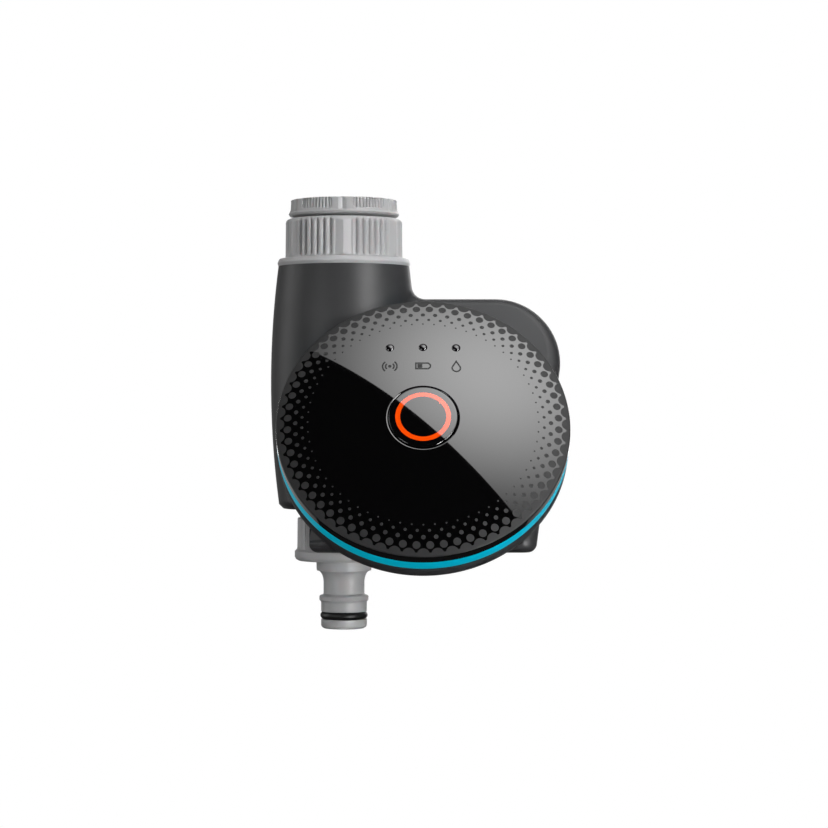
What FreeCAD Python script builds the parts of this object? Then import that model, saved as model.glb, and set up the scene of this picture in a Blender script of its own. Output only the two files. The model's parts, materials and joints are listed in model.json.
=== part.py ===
import FreeCAD, Part
import math
import os
import re

import Sketcher
from FreeCAD import Placement, Rotation, Vector

# A watering controller that hangs from a garden tap: a union nut and tap adapter on top,
# a barrel with the water valve below it, a hose connector at the foot, and a round tilted
# head with a button, lamps and a circuit board, over a box that holds the battery tray.
# The origin is the centre of the tap thread at the adapter's top face. +Z is up, +X is to
# the right of someone who faces the head, and the head looks towards -Y.

# Driving dimensions in millimetres and degrees: name, value, meaning
SIZES = [
    # Tap adapter, union nut and inlet
    ("ring_radius", 19.3, "grip ring of the tap adapter, at its lower edge"),
    ("ring_top_radius", 18.8, "grip ring of the tap adapter, at its top edge"),
    ("ring_height", 5.2, "height of the grip ring"),
    ("ring_cone_height", 1.3, "cone from the grip ring to the threaded shank"),
    ("inch_thread_radius", 16.6, "outer radius of the adapter's one-inch thread"),
    ("thread_clearance", 0.15, "radial play of the one-inch thread in the nut"),
    ("tap_thread_radius", 13.3, "three-quarter-inch thread for the tap"),
    ("tap_thread_depth", 9.0, "length of the tap thread"),
    ("water_radius", 9.5, "waterway through the adapter"),
    ("seal_thickness", 2.0, "thickness of each flat seal"),
    ("seal_play", 0.1, "radial play round a flat seal"),
    ("seal_step", 0.3, "step between a thread and the recess of its seal"),
    ("seat_gap", 0.1, "gap between faces that turn or seat on each other"),
    ("nut_radius", 20.8, "union nut over its ribs"),
    ("nut_height", 13.8, "height of the union nut"),
    ("nut_lip_height", 2.6, "inward lip at the nut's foot"),
    ("nut_shoulder", 1.7, "rounding of the nut's top shoulder"),
    ("swivel_play", 0.3, "radial play of the nut's lip round the inlet tube"),
    ("collar_radius", 23.2, "fixed collar between nut and barrel"),
    ("collar_height", 2.6, "height of the fixed collar"),
    ("rim_round", 0.5, "rounding of small moulded rims"),
    ("lug_count", 6, "plain lugs round each grip"),
    ("grip_span", 36.0, "angle of the ribbed window between two lugs"),
    ("ring_groove_count", 11, "grooves in one window of the grip ring"),
    ("ring_groove_width", 0.6, "width of a groove in the grip ring"),
    ("ring_groove_depth", 0.6, "depth of a groove in the grip ring"),
    ("ring_rim", 0.9, "plain rim above and below the ring's grooves"),
    ("nut_groove_count", 6, "grooves in one window of the nut"),
    ("nut_groove_width", 1.3, "width of a groove in the nut"),
    ("nut_groove_depth", 0.9, "depth of a groove in the nut"),
    ("nut_rim", 0.9, "plain rim below the nut's grooves"),
    # Valve
    ("tube_radius", 12.9, "inlet and outlet tube of the valve body"),
    ("tube_wall", 3.9, "wall of the tube"),
    ("stem_radius", 10.9, "valve body between its locking flanges"),
    ("tube_flange_radius", 16.3, "flange that the nut's lip pulls on"),
    ("tube_flange_height", 2.0, "thickness of that flange"),
    ("filter_recess_radius", 10.0, "recess for the filter's brim"),
    ("filter_brim", 1.4, "thickness of the filter's brim"),
    ("filter_depth", 15.0, "length of the filter below its brim"),
    ("filter_foot_radius", 4.0, "closed foot of the filter"),
    ("filter_wall", 0.8, "wall of the filter"),
    ("filter_slot_count", 12, "slots round the filter"),
    ("filter_slot_width", 1.0, "width of a slot in the filter"),
    ("lock_flange_radius", 17.0, "flanges that lock the valve body in the housing"),
    ("lock_flange_height", 2.0, "thickness of these flanges"),
    ("valve_drop", 65.0, "depth of the valve's axis below the origin"),
    ("boss_radius", 13.2, "round boss of the diaphragm chamber"),
    ("boss_end", 11.0, "face of the boss, from the water axis"),
    ("valve_flange_radius", 17.2, "flange that the bonnet is screwed to"),
    ("valve_flange_height", 4.0, "thickness of that flange on the body"),
    ("chamber_radius", 10.5, "diaphragm chamber"),
    ("chamber_floor", 5.5, "floor of the chamber, from the water axis"),
    ("seat_radius", 6.5, "outside of the valve seat"),
    ("seat_bore", 4.5, "bore of the valve seat"),
    ("seat_end", 9.0, "rim of the valve seat, from the water axis"),
    ("inlet_bore_rise", 9.0, "lower end of the inlet bore above the valve's axis"),
    ("outlet_bore_drop", 20.0, "upper end of the outlet bore below the valve's axis"),
    ("diaphragm_thickness", 1.2, "rubber of the diaphragm"),
    ("diaphragm_rim_radius", 12.9, "clamped rim of the diaphragm"),
    ("plate_radius", 6.2, "plate on the diaphragm"),
    ("plate_thickness", 1.2, "thickness of that plate"),
    ("plate_stem_radius", 2.0, "stem that centres the spring"),
    ("plate_stem_length", 2.5, "length of that stem"),
    ("bonnet_flange_height", 2.6, "thickness of the bonnet's flange"),
    ("bonnet_dome_radius", 11.4, "raised middle of the bonnet"),
    ("bonnet_end", 20.0, "end of that raised middle, from the water axis"),
    ("bonnet_roof", 2.5, "wall over the control chamber"),
    ("bonnet_bore", 9.5, "control chamber in the bonnet"),
    ("pilot_radius", 0.9, "pilot hole"),
    ("plunger_radius", 4.0, "plunger"),
    ("plunger_length", 16.0, "length of the plunger"),
    ("plunger_travel", 1.5, "stroke of the plunger"),
    ("plunger_play", 0.15, "radial play of the plunger"),
    ("plunger_tip_radius", 2.5, "rubber tip on the plunger"),
    ("plunger_tip_length", 2.2, "length of the rubber tip"),
    ("plunger_bore", 2.7, "spring bore in the plunger"),
    ("plunger_bore_depth", 4.5, "depth of the spring bore"),
    ("core_length", 5.8, "fixed core at the end of the plunger's tube"),
    ("magnet_length", 2.0, "latching magnet behind the core"),
    ("guide_wall", 0.85, "wall of the plunger's tube"),
    ("coil_start", 24.0, "near end of the bobbin, from the water axis"),
    ("coil_length", 22.0, "length of the bobbin"),
    ("bobbin_wall", 1.4, "walls of the bobbin"),
    ("bobbin_radius", 10.5, "flanges of the bobbin"),
    ("winding_radius", 9.9, "outside of the copper winding"),
    ("fit_play", 0.1, "play between fitted pieces"),
    ("yoke_thickness", 1.4, "sheet of the steel yoke"),
    ("yoke_width", 16.0, "width of the steel yoke"),
    ("valve_spring_radius", 3.4, "coil radius of the diaphragm spring"),
    ("plunger_spring_radius", 2.1, "coil radius of the plunger spring"),
    ("spring_wire_radius", 0.35, "wire of the valve springs"),
    ("bonnet_screw_circle", 15.0, "circle of the bonnet screws"),
    # Housing
    ("column_top_radius", 22.9, "barrel at its top"),
    ("column_belly_radius", 25.5, "barrel at its widest"),
    ("column_foot_radius", 22.7, "barrel at its foot"),
    ("column_bottom", 107.5, "foot of the barrel below the origin"),
    ("column_foot_chamfer", 1.5, "bevel round the barrel's foot"),
    ("wall", 2.4, "housing wall"),
    ("box_left", -9.8, "left side of the box, below the barrel"),
    ("box_right", 74.2, "right side of the box at its widest"),
    ("box_right_drop", 62.0, "depth of that widest place"),
    ("box_foot_right", 64.6, "right side of the box at its foot"),
    ("box_top", 34.6, "depth of the box's top"),
    ("box_bottom", 120.2, "depth of the box's foot"),
    ("box_back", 14.0, "back of the box"),
    ("box_slant_top", 26.2, "where the back starts to slant forward, above the box's foot"),
    ("box_slant_foot", 12.2, "where the slant ends, above the box's foot"),
    ("box_foot_back", -19.0, "back of the box's foot"),
    ("shoulder_round", 22.0, "large rounding of the box's shoulder"),
    ("foot_round", 3.0, "rounding of the box's foot corners"),
    ("box_edge_round", 5.0, "rounding of the box's long edges"),
    ("saddle_round", 5.0, "hollow rounding between barrel and box"),
    ("split_y", 2.0, "parting plane of the two housings"),
    ("gasket_inset", 0.9, "outer wall left in front of the housing gasket"),
    ("gasket_height", 1.6, "thickness of the housing gasket"),
    ("housing_boss_radius", 4.6, "screw bosses between the housings"),
    ("housing_screw_seat", 8.0, "where the housing screw heads seat"),
    ("housing_screw_length", 14.0, "length of a housing screw"),
    ("housing_boss_depth", 40.0, "reach of a boss towards the front"),
    # Head
    ("face_tilt", 30.0, "backward lean of the head's face"),
    ("head_x", 27.5, "middle of the cover's front edge"),
    ("head_y", -49.0, "middle of the cover's front edge"),
    ("head_z", -78.3, "middle of the cover's front edge"),
    ("cover_radius", 48.6, "front cover and colour ring"),
    ("dome_height", 5.5, "crown of the front cover"),
    ("cover_wall", 2.1, "wall of the front cover"),
    ("cover_side", 3.8, "side of the front cover"),
    ("cover_round", 0.7, "rounding of the cover's front edge"),
    ("colour_ring_height", 4.6, "visible height of the colour ring"),
    ("shell_step", 0.1, "step in from the cover's edge to the shell"),
    ("shell_height", 6.2, "visible height of the shell"),
    ("shell_round", 1.2, "rounding of the shell's back edge"),
    ("shell_floor", 2.2, "floor of the shell"),
    ("shell_ledge", 17.6, "floor of the shell, from the cover's edge to its opening"),
    ("colour_ring_width", 2.3, "colour ring, from its outside to the rim that centres it"),
    ("register_wall", 1.9, "wall of that rim"),
    ("register_drop", 0.9, "top of that rim below the colour ring's top"),
    ("recess_play", 0.2, "play of the shell in the housing's recess"),
    ("board_room", 2.9, "room between the board and the rim round it"),
    ("board_screw_inset", 3.5, "screws in from the board's edge"),
    ("board_thickness", 1.6, "circuit board"),
    ("board_drop", 8.0, "top of the board below the cover's edge"),
    ("standoff_radius", 3.0, "posts under the board"),
    ("button_radius", 12.15, "push button"),
    ("button_play", 0.25, "radial play of the button"),
    ("button_rise", 0.8, "button's crown above the cover's crown"),
    ("button_travel", 0.8, "stroke of the button"),
    ("button_wall", 1.7, "wall of the button"),
    ("button_flange_radius", 14.0, "flange that keeps the button in"),
    ("button_flange_height", 1.0, "thickness of that flange"),
    ("button_stem_radius", 2.2, "stem over the switch"),
    ("light_ring_outer", 9.3, "orange ring in the button"),
    ("light_ring_inner", 7.7, "orange ring in the button"),
    ("light_ring_depth", 1.2, "thickness of the orange ring"),
    ("bezel_wall", 0.55, "bright bezel round the button"),
    ("hole_boss_wall", 2.0, "collar under the cover's button hole"),
    ("hole_boss_foot", 2.0, "foot of that collar below the cover's edge"),
    ("lamp_inset", 20.8, "row of lamps below the cover's upper edge"),
    ("lamp_pitch", 11.05, "distance between lamps"),
    ("guide_radius", 1.45, "light guide"),
    ("guide_flange_radius", 2.4, "flange of a light guide under the cover"),
    ("guide_rise", 0.7, "light guide's crown above the cover"),
    ("lamp_length", 3.2, "lamp on the board"),
    ("lamp_width", 2.8, "lamp on the board"),
    ("lamp_height", 1.8, "lamp on the board"),
    ("switch_side", 6.2, "push switch on the board"),
    ("switch_height", 3.4, "push switch on the board"),
    ("switch_pin_radius", 1.7, "pin of the push switch"),
    ("switch_pin_height", 0.7, "pin of the push switch"),
    ("radio_length", 14.0, "radio module"),
    ("radio_width", 18.0, "radio module"),
    ("radio_height", 2.6, "radio module"),
    ("antenna_length", 22.0, "arm of the antenna"),
    ("antenna_width", 5.0, "strip of the antenna"),
    ("antenna_height", 5.0, "antenna above the board"),
    ("antenna_sheet", 0.8, "thickness of the antenna's strip"),
    ("can_radius", 4.0, "capacitor"),
    ("can_height", 7.5, "capacitor"),
    ("can_pitch", 11.0, "distance between the capacitors"),
    ("socket_length", 8.0, "lead socket under the board"),
    ("socket_width", 6.0, "lead socket under the board"),
    ("socket_height", 4.6, "lead socket under the board"),
    ("dome_wall", 0.8, "rubber skirt under the button"),
    # Batteries
    ("cell_radius", 7.1, "battery cell"),
    ("cell_length", 50.5, "battery cell with its cap"),
    ("cell_cap_radius", 2.7, "cap of a cell"),
    ("cell_cap_length", 1.2, "cap of a cell"),
    ("cell_pitch", 14.6, "distance between cells"),
    ("cell_x", 27.5, "middle of the cells"),
    ("cell_back_y", -29.6, "axis of the back cells"),
    ("cell_rise", 9.2, "axis of the lower cells above the box's foot"),
    ("cell_play", 0.2, "room between cell and bay"),
    ("bay_wall", 0.8, "wall of the battery bay"),
    ("bay_front_depth", 12.4, "slanted front of the bay behind the cover's edge"),
    ("tray_wall", 1.4, "end walls of the battery tray"),
    ("tray_play", 0.3, "room between tray and bay"),
    ("contact_thickness", 0.4, "contact sheet"),
    ("contact_side", 9.0, "contact sheet"),
    ("contact_spring_length", 2.7, "contact spring"),
    ("contact_spring_radius", 2.9, "contact spring"),
    ("contact_wire_radius", 0.25, "contact spring"),
    ("tray_base", 2.0, "base of the tray, which closes the box"),
    ("tray_seal_height", 0.9, "seal round the tray's base"),
    ("tray_seal_width", 1.3, "seal round the tray's base"),
    # Hose connector
    ("outlet_thread_radius", 13.2, "outlet thread of the valve body"),
    ("outlet_thread_play", 0.1, "radial play of the outlet thread"),
    ("outlet_length", 13.8, "outlet thread below the barrel"),
    ("connector_radius", 16.5, "ribbed part of the connector"),
    ("connector_grip", 11.4, "height of the ribbed part"),
    ("connector_flange_radius", 17.2, "flange of the connector"),
    ("connector_flange_height", 3.7, "thickness of the flange"),
    ("connector_floor", 2.2, "floor under the outlet seal"),
    ("hub_radius", 9.65, "hub below the flange"),
    ("hub_height", 2.9, "height of the hub"),
    ("taper_height", 4.7, "hollow taper from the hub to the neck"),
    ("neck_radius", 7.15, "neck of the nipple"),
    ("neck_height", 4.0, "height of the neck"),
    ("stop_radius", 8.6, "collar that stops the hose fitting"),
    ("stop_height", 1.7, "thickness of that collar"),
    ("stop_bevel", 0.8, "bevel from the neck to that collar"),
    ("nipple_bevel", 0.5, "bevel from that collar to the nipple"),
    ("nipple_radius", 8.0, "nipple for the hose fitting"),
    ("nipple_length", 9.1, "length of the nipple"),
    ("nipple_bore", 5.0, "waterway through the nipple"),
    ("o_ring_drop", 3.2, "groove of the O-ring below the nipple's upper end"),
    ("o_ring_groove", 2.7, "width of that groove"),
    ("o_ring_groove_depth", 1.6, "depth of that groove"),
    ("o_ring_stand", 0.05, "O-ring beyond the nipple"),
    ("o_ring_play", 0.2, "room beside the O-ring in its groove"),
    ("connector_groove_count", 8, "grooves in one window of the connector"),
    ("connector_groove_width", 0.7, "width of such a groove"),
    ("connector_groove_depth", 0.6, "depth of such a groove"),
    # Screws
    ("screw_radius", 1.4, "shank of a housing or bonnet screw"),
    ("screw_head_radius", 2.6, "head of a housing or bonnet screw"),
    ("screw_head_height", 2.0, "head of a housing or bonnet screw"),
    ("screw_play", 0.1, "radial play of a screw in its hole"),
    ("small_screw_radius", 1.1, "shank of a board or head screw"),
    ("small_head_radius", 2.2, "head of a board or head screw"),
    ("small_head_height", 1.3, "head of a board or head screw"),
]

# Radii of the head's pieces, which keep step with its cover
SHELL_RADIUS = "(cover_radius - shell_step)"
SHELL_OPENING = "(cover_radius - shell_ledge)"
REGISTER = "(cover_radius - colour_ring_width)"
BOARD_RADIUS = f"({REGISTER} - register_wall - board_room)"
BOARD_CIRCLE = f"({BOARD_RADIUS} - board_screw_inset)"
LAMP_ROW = "(cover_radius - lamp_inset)"

# Places of screws that are spread by hand, across the housing (x, depth) or the face (x, y)
HOUSING_SCREWS = [("62", "50"), ("62", "84"), ("26", "43"), ("-18", "38"), ("-18", "94")]
HEAD_SCREWS = [(f"{across} * cover_radius", f"{up} * cover_radius")
               for across, up in ((-0.556, 0.617), (0.556, 0.617), (0.741, -0.206),
                                  (-0.679, -0.288))]
BOARD_SCREWS = [(f"{across} * {BOARD_CIRCLE}", f"{up} * {BOARD_CIRCLE}")
                for across, up in ((0, 1), (0.98, 0.2), (-0.98, 0.2), (0, -1))]

doc = FreeCAD.newDocument("irrigation_controller")
sheet = doc.addObject("Spreadsheet::Sheet", "Sizes")
for row, (alias, number, meaning) in enumerate(SIZES, 1):
    sheet.set(f"A{row}", meaning)
    sheet.set(f"B{row}", str(number))
    sheet.setAlias(f"B{row}", alias)
doc.recompute()
NAMES = {alias for alias, number, meaning in SIZES}
SUB_PARTS = []


def formula(text):
    """The text with each size name written as a cell of the sheet."""
    def cell(match):
        word = match.group()
        return "Sizes." + word if word in NAMES else word
    return re.sub(r"[a-z][a-z0-9_]*", cell, str(text))


def worth(text):
    """The number that a formula of sizes comes to."""
    return float(sheet.evalExpression(formula(text)))


def bind(thing, prop, text):
    """Tie a property to a formula of sizes."""
    thing.setExpression(prop, formula(text))


def place(thing, x="0", y="0", z="0", axis=None, angle="0"):
    """Put a thing at a bound place, turned about an axis by a bound angle."""
    if axis:
        thing.Placement = Placement(Vector(), Rotation(Vector(*axis), 1))
        bind(thing, "Placement.Rotation.Angle", angle)
    bind(thing, "Placement.Base.x", x)
    bind(thing, "Placement.Base.y", y)
    bind(thing, "Placement.Base.z", z)
    return thing


def on_head(thing, x="0", y="0", rise="0"):
    """Put a thing on the tilted face: x across, y up the face, rise out of it."""
    return place(
        thing,
        f"head_x + ({x})",
        f"head_y + ({y}) * sin(face_tilt) - ({rise}) * cos(face_tilt)",
        f"head_z + ({y}) * cos(face_tilt) + ({rise}) * sin(face_tilt)",
        (1, 0, 0),
        "90 - face_tilt",
    )


def sub_part(thing, label):
    """Name a finished piece, which is written to its own file."""
    thing.Label = label
    SUB_PARTS.append(thing)
    return thing


def origin_plane(body, role):
    """One of a body's own origin planes or axes."""
    return [item for item in body.Origin.OriginFeatures if item.Role == role][0]


def outline(body, name, role, corners, arcs=None):
    """A closed sketch whose corners are bound; arcs gives (radius, bulge side) by edge."""
    arcs = arcs or {}
    sketch = body.newObject("Sketcher::SketchObject", name)
    sketch.AttachmentSupport = [(origin_plane(body, role), "")]
    sketch.MapMode = "FlatFace"
    points = [Vector(worth(across), worth(up), 0) for across, up in corners]
    ends = []
    for index, start in enumerate(points):
        finish = points[(index + 1) % len(points)]
        if index in arcs:
            radius, side = arcs[index]
            half = (finish - start) / 2
            reach = math.sqrt(worth(radius) ** 2 - half.Length ** 2)
            normal = Vector(-half.y, half.x, 0).normalize()
            centre = start + half + normal * reach * side
            first, last = (start, finish) if side > 0 else (finish, start)
            angles = [math.atan2(tip.y - centre.y, tip.x - centre.x) for tip in (first, last)]
            circle = Part.Circle(centre, Vector(0, 0, 1), worth(radius))
            sketch.addGeometry(Part.ArcOfCircle(circle, *angles))
            ends.append((1, 2) if side > 0 else (2, 1))
        else:
            sketch.addGeometry(Part.LineSegment(start, finish))
            ends.append((1, 2))
    count = len(points)
    for index in range(count):
        follower = (index + 1) % count
        sketch.addConstraint(Sketcher.Constraint(
            "Coincident", index, ends[index][1], follower, ends[follower][0]))
    for index, (across, up) in enumerate(corners):
        for kind, text in (("DistanceX", across), ("DistanceY", up)):
            number = sketch.addConstraint(Sketcher.Constraint(
                kind, -1, 1, index, ends[index][0], worth(text)))
            bind(sketch, f"Constraints[{number}]", text)
    for index, (radius, side) in arcs.items():
        number = sketch.addConstraint(Sketcher.Constraint("Radius", index, worth(radius)))
        bind(sketch, f"Constraints[{number}]", radius)
    return sketch


def turned(name, corners, arcs=None, about="V_Axis"):
    """A body turned from (radius, height) corners, or about the X axis from (x, radius)."""
    body = doc.addObject("PartDesign::Body", name)
    profile = outline(body, name + "_profile", "XZ_Plane", corners, arcs)
    spin = body.newObject("PartDesign::Revolution", name + "_turned")
    spin.Profile = profile
    spin.ReferenceAxis = (profile, [about])
    spin.Angle = 360
    doc.recompute()
    return body


def padded(name, role, corners, length, middle=False):
    """A body pushed out from a flat outline."""
    body = doc.addObject("PartDesign::Body", name)
    pad = body.newObject("PartDesign::Pad", name + "_pad")
    pad.Profile = outline(body, name + "_outline", role, corners)
    bind(pad, "Length", length)
    pad.Midplane = middle
    doc.recompute()
    return body


def soften(body, radius, chosen):
    """Round the edges of a body that the test picks."""
    base = body.Tip
    names = [f"Edge{index}" for index, edge in enumerate(base.Shape.Edges, 1)
             if chosen(edge, base.Shape)]
    fillet = body.newObject("PartDesign::Fillet", body.Name + "_round")
    fillet.Base = (base, names)
    bind(fillet, "Radius", radius)
    doc.recompute()
    return body


def bodied(name, solid):
    """A body that starts from a finished solid, so that its edges can be softened."""
    body = doc.addObject("PartDesign::Body", name)
    body.BaseFeature = solid
    doc.recompute()
    body.Tip = body.Group[0]
    return body


def rim(radius, height):
    """A test for the round edge of this radius at this height of a turned body."""
    def chosen(edge, shape):
        curve = edge.Curve
        if not isinstance(curve, Part.Circle):
            return False
        near = abs(curve.Radius - worth(radius)) < 0.001
        return near and abs(curve.Center.z - worth(height)) < 0.001
    return chosen


def either(*tests):
    """A test that passes where any of the given ones does."""
    return lambda edge, shape: any(test(edge, shape) for test in tests)


def grooved(body, radius, foot, height, count, width, depth):
    """Cut upright grooves into a round grip, in a window between each two plain lugs."""
    sketch = outline(body, body.Name + "_groove", "XY_Plane", [
        (f"{radius} - {depth}", f"-{width} / 2"),
        (f"{radius} + {depth}", f"-{width} / 2"),
        (f"{radius} + {depth}", f"{width} / 2"),
        (f"{radius} - {depth}", f"{width} / 2"),
    ])
    # The first groove stands at the edge of the window right of the front lug
    sketch.AttachmentOffset = Placement(Vector(), Rotation(Vector(0, 0, 1), 1))
    bind(sketch, "AttachmentOffset.Base.z", foot)
    bind(sketch, "AttachmentOffset.Rotation.Angle", "270 + (360 / lug_count - grip_span) / 2")
    cut = body.newObject("PartDesign::Pocket", body.Name + "_cut")
    cut.Profile = sketch
    cut.Reversed = True
    bind(cut, "Length", height)
    doc.recompute()
    pattern = body.newObject("PartDesign::MultiTransform", body.Name + "_grip")
    pattern.Originals = [cut]
    window = body.newObject("PartDesign::PolarPattern", body.Name + "_window")
    around = body.newObject("PartDesign::PolarPattern", body.Name + "_around")
    for turn in (window, around):
        turn.Axis = (origin_plane(body, "Z_Axis"), [""])
    bind(window, "Angle", "grip_span")
    bind(window, "Occurrences", count)
    around.Angle = 360
    bind(around, "Occurrences", "lug_count")
    pattern.Transformations = [window, around]
    body.Tip = pattern
    doc.recompute()
    return body


def cylinder(name, radius, height):
    """An upright cylinder on the origin."""
    solid = doc.addObject("Part::Cylinder", name)
    bind(solid, "Radius", radius)
    bind(solid, "Height", height)
    return solid


def along_x(name, radius, start, finish):
    """A cylinder on the valve's axis, from one distance to another."""
    solid = cylinder(name, radius, f"({finish}) - ({start})")
    return place(solid, start, "0", "-valve_drop", (0, 1, 0), "90")


def upright(name, radius, foot, head):
    """A cylinder on the water axis, from its foot to its head."""
    return place(cylinder(name, radius, f"({head}) - ({foot})"), z=foot)


def block(name, length, width, height):
    """A block with one corner on the origin."""
    solid = doc.addObject("Part::Box", name)
    bind(solid, "Length", length)
    bind(solid, "Width", width)
    bind(solid, "Height", height)
    return solid


def span_block(name, low, high):
    """A block between two corners."""
    sizes = [f"({top}) - ({foot})" for foot, top in zip(low, high)]
    return place(block(name, *sizes), *low)


def chip(name, length, width, height, x, y, rise):
    """A block centred on a spot of the face."""
    return on_head(block(name, length, width, height), f"({x}) - ({length}) / 2",
                   f"({y}) - ({width}) / 2", rise)


def joined(name, pieces):
    """Several solids made one."""
    whole = doc.addObject("Part::MultiFuse", name)
    whole.Shapes = pieces
    doc.recompute()
    return whole


def shared(name, pieces):
    """What several solids have in common."""
    whole = doc.addObject("Part::MultiCommon", name)
    whole.Shapes = pieces
    doc.recompute()
    return whole


def cut(name, base, tools):
    """A solid with others cut from it."""
    whole = doc.addObject("Part::Cut", name)
    whole.Base = base
    whole.Tool = tools[0] if len(tools) == 1 else joined(name + "_tools", tools)
    doc.recompute()
    return whole


def group(name, pieces):
    """Separate solids kept in one node."""
    whole = doc.addObject("Part::Compound", name)
    whole.Links = pieces
    doc.recompute()
    return whole


def spring(name, radius, wire, length, turns):
    """A coil spring along +Z from the origin, with its wire inside its length."""
    rise = f"((({length}) - 2 * ({wire})) / {2 * turns})"
    tilt = f"atan({rise} / (2 * ({radius})))"
    halves = []
    # Each half turn is half a torus that tilts about the Y axis, so that the next one runs on
    for index in range(2 * turns):
        half = doc.addObject("Part::Torus", f"{name}_half_{index}")
        bind(half, "Radius1", f"({radius}) / cos({tilt})")
        bind(half, "Radius2", wire)
        half.Angle3 = 180
        height = f"({index} + 0.5) * {rise}"
        if index % 2 == 0:
            place(half, z=height, axis=(0, 1, 0), angle=tilt)
        else:
            place(half, z=height, axis=(0, 0, 1), angle="180")
            bind(half, "Placement.Rotation.Axis.x", f"-sin({tilt} / 2)")
            bind(half, "Placement.Rotation.Axis.z", f"cos({tilt} / 2)")
        halves.append(half)
    return joined(name, halves)


def screw(name, radius, head_radius, head_height, length):
    """A cap screw along +Z: its head stands on the origin's plane, its shank below."""
    hex_key = doc.addObject("Part::Prism", name + "_key")
    hex_key.Polygon = 6
    bind(hex_key, "Circumradius", f"{radius} * 0.8")
    bind(hex_key, "Height", head_height)
    place(hex_key, z=f"{head_height} * 0.45")
    head = cylinder(name + "_head", head_radius, head_height)
    shank = place(cylinder(name + "_shank", radius, length), z=f"-({length})")
    return cut(name, joined(name + "_blank", [head, shank]), [hex_key])


# Levels on the water axis, as formulas of the sizes
NECK = "-(ring_height + ring_cone_height)"
NUT_TOP = f"{NECK} - seat_gap"
NUT_FOOT = f"{NUT_TOP} - nut_height"
LIP_TOP = f"{NUT_FOOT} + nut_lip_height"
TUBE_TOP = f"{LIP_TOP} + seat_gap + tube_flange_height"
WASHER_FOOT = f"{TUBE_TOP} + seat_gap"
SHANK_FOOT = f"{WASHER_FOOT} + seal_thickness + seat_gap"
COLLAR_TOP = f"{NUT_FOOT} - seat_gap"
COLUMN_TOP = f"{COLLAR_TOP} - collar_height"
SEAL_LEDGE = "-(tap_thread_depth + seal_thickness)"
SEAL_RECESS = "tap_thread_radius - seal_step"
OUTLET_END = "-(column_bottom + outlet_length)"
OUTLET_WASHER_FOOT = f"{OUTLET_END} - seat_gap - seal_thickness"
CONNECTOR_LEDGE = f"{OUTLET_WASHER_FOOT} - seat_gap"
FLANGE_FOOT = f"{CONNECTOR_LEDGE} - connector_floor"
FLANGE_TOP = f"{FLANGE_FOOT} + connector_flange_height"
CONNECTOR_TOP = f"{FLANGE_TOP} + connector_grip"
HUB_FOOT = f"{FLANGE_FOOT} - hub_height"
NECK_TOP = f"{HUB_FOOT} - taper_height"
NECK_FOOT = f"{NECK_TOP} - neck_height"
STOP_TOP = f"{NECK_FOOT} - stop_bevel"
STOP_FOOT = f"{STOP_TOP} - stop_height"
NIPPLE_TOP = f"{STOP_FOOT} - nipple_bevel"
NIPPLE_END = f"{NIPPLE_TOP} - nipple_length"
O_RING_TOP = f"{NIPPLE_TOP} - o_ring_drop"
O_RING_FOOT = f"{O_RING_TOP} - o_ring_groove"

# Levels on the head, out of its face from the cover's front edge
SHELL_TOP = "-(cover_side + colour_ring_height)"
SHELL_BACK = f"{SHELL_TOP} - shell_height"
SHELL_FLOOR = f"{SHELL_BACK} + shell_floor"
REGISTER_TOP = "-cover_side - register_drop"
BOARD_TOP = "-board_drop"
BOARD_FOOT = f"{BOARD_TOP} - board_thickness"


def tap_adapter():
    """The ring that is screwed onto the tap, with a shank that is screwed into the nut."""
    body = turned("tap_adapter", [
        ("tap_thread_radius", "0"),
        ("ring_top_radius", "0"),
        ("ring_radius", "-ring_height"),
        ("inch_thread_radius", NECK),
        ("inch_thread_radius", SHANK_FOOT),
        ("water_radius", SHANK_FOOT),
        ("water_radius", SEAL_LEDGE),
        (SEAL_RECESS, SEAL_LEDGE),
        (SEAL_RECESS, "-tap_thread_depth"),
        ("tap_thread_radius", "-tap_thread_depth"),
    ])
    soften(body, "rim_round", either(rim("ring_top_radius", "0"),
                                     rim("ring_radius", "-ring_height")))
    grooved(body, "ring_radius", "ring_rim - ring_height", "ring_height - 2 * ring_rim",
            "ring_groove_count", "ring_groove_width", "ring_groove_depth")
    return sub_part(body, "tap_adapter")


def flat_seal(label, outer, inner, foot):
    """A flat rubber seal."""
    body = turned(label, [
        (inner, foot),
        (outer, foot),
        (outer, f"{foot} + seal_thickness"),
        (inner, f"{foot} + seal_thickness"),
    ])
    return sub_part(body, label)


def union_nut():
    """The large nut that draws the valve's flange against the adapter."""
    body = turned("union_nut", [
        ("inch_thread_radius + thread_clearance", NUT_TOP),
        ("nut_radius", NUT_TOP),
        ("nut_radius", NUT_FOOT),
        ("tube_radius + swivel_play", NUT_FOOT),
        ("tube_radius + swivel_play", LIP_TOP),
        ("inch_thread_radius + thread_clearance", LIP_TOP),
    ])
    soften(body, "nut_shoulder", rim("nut_radius", NUT_TOP))
    soften(body, "rim_round", rim("nut_radius", NUT_FOOT))
    grooved(body, "nut_radius", f"{NUT_FOOT} + nut_rim", "nut_height",
            "nut_groove_count", "nut_groove_width", "nut_groove_depth")
    return sub_part(body, "union_nut")


def inlet_collar():
    """The fixed ring that closes the barrel under the nut."""
    body = turned("inlet_collar", [
        ("tube_radius + fit_play", COLUMN_TOP),
        ("collar_radius", COLUMN_TOP),
        ("collar_radius", COLLAR_TOP),
        ("tube_radius + fit_play", COLLAR_TOP),
    ])
    soften(body, "rim_round", either(rim("collar_radius", COLUMN_TOP),
                                     rim("collar_radius", COLLAR_TOP)))
    return sub_part(body, "inlet_collar")


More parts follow.
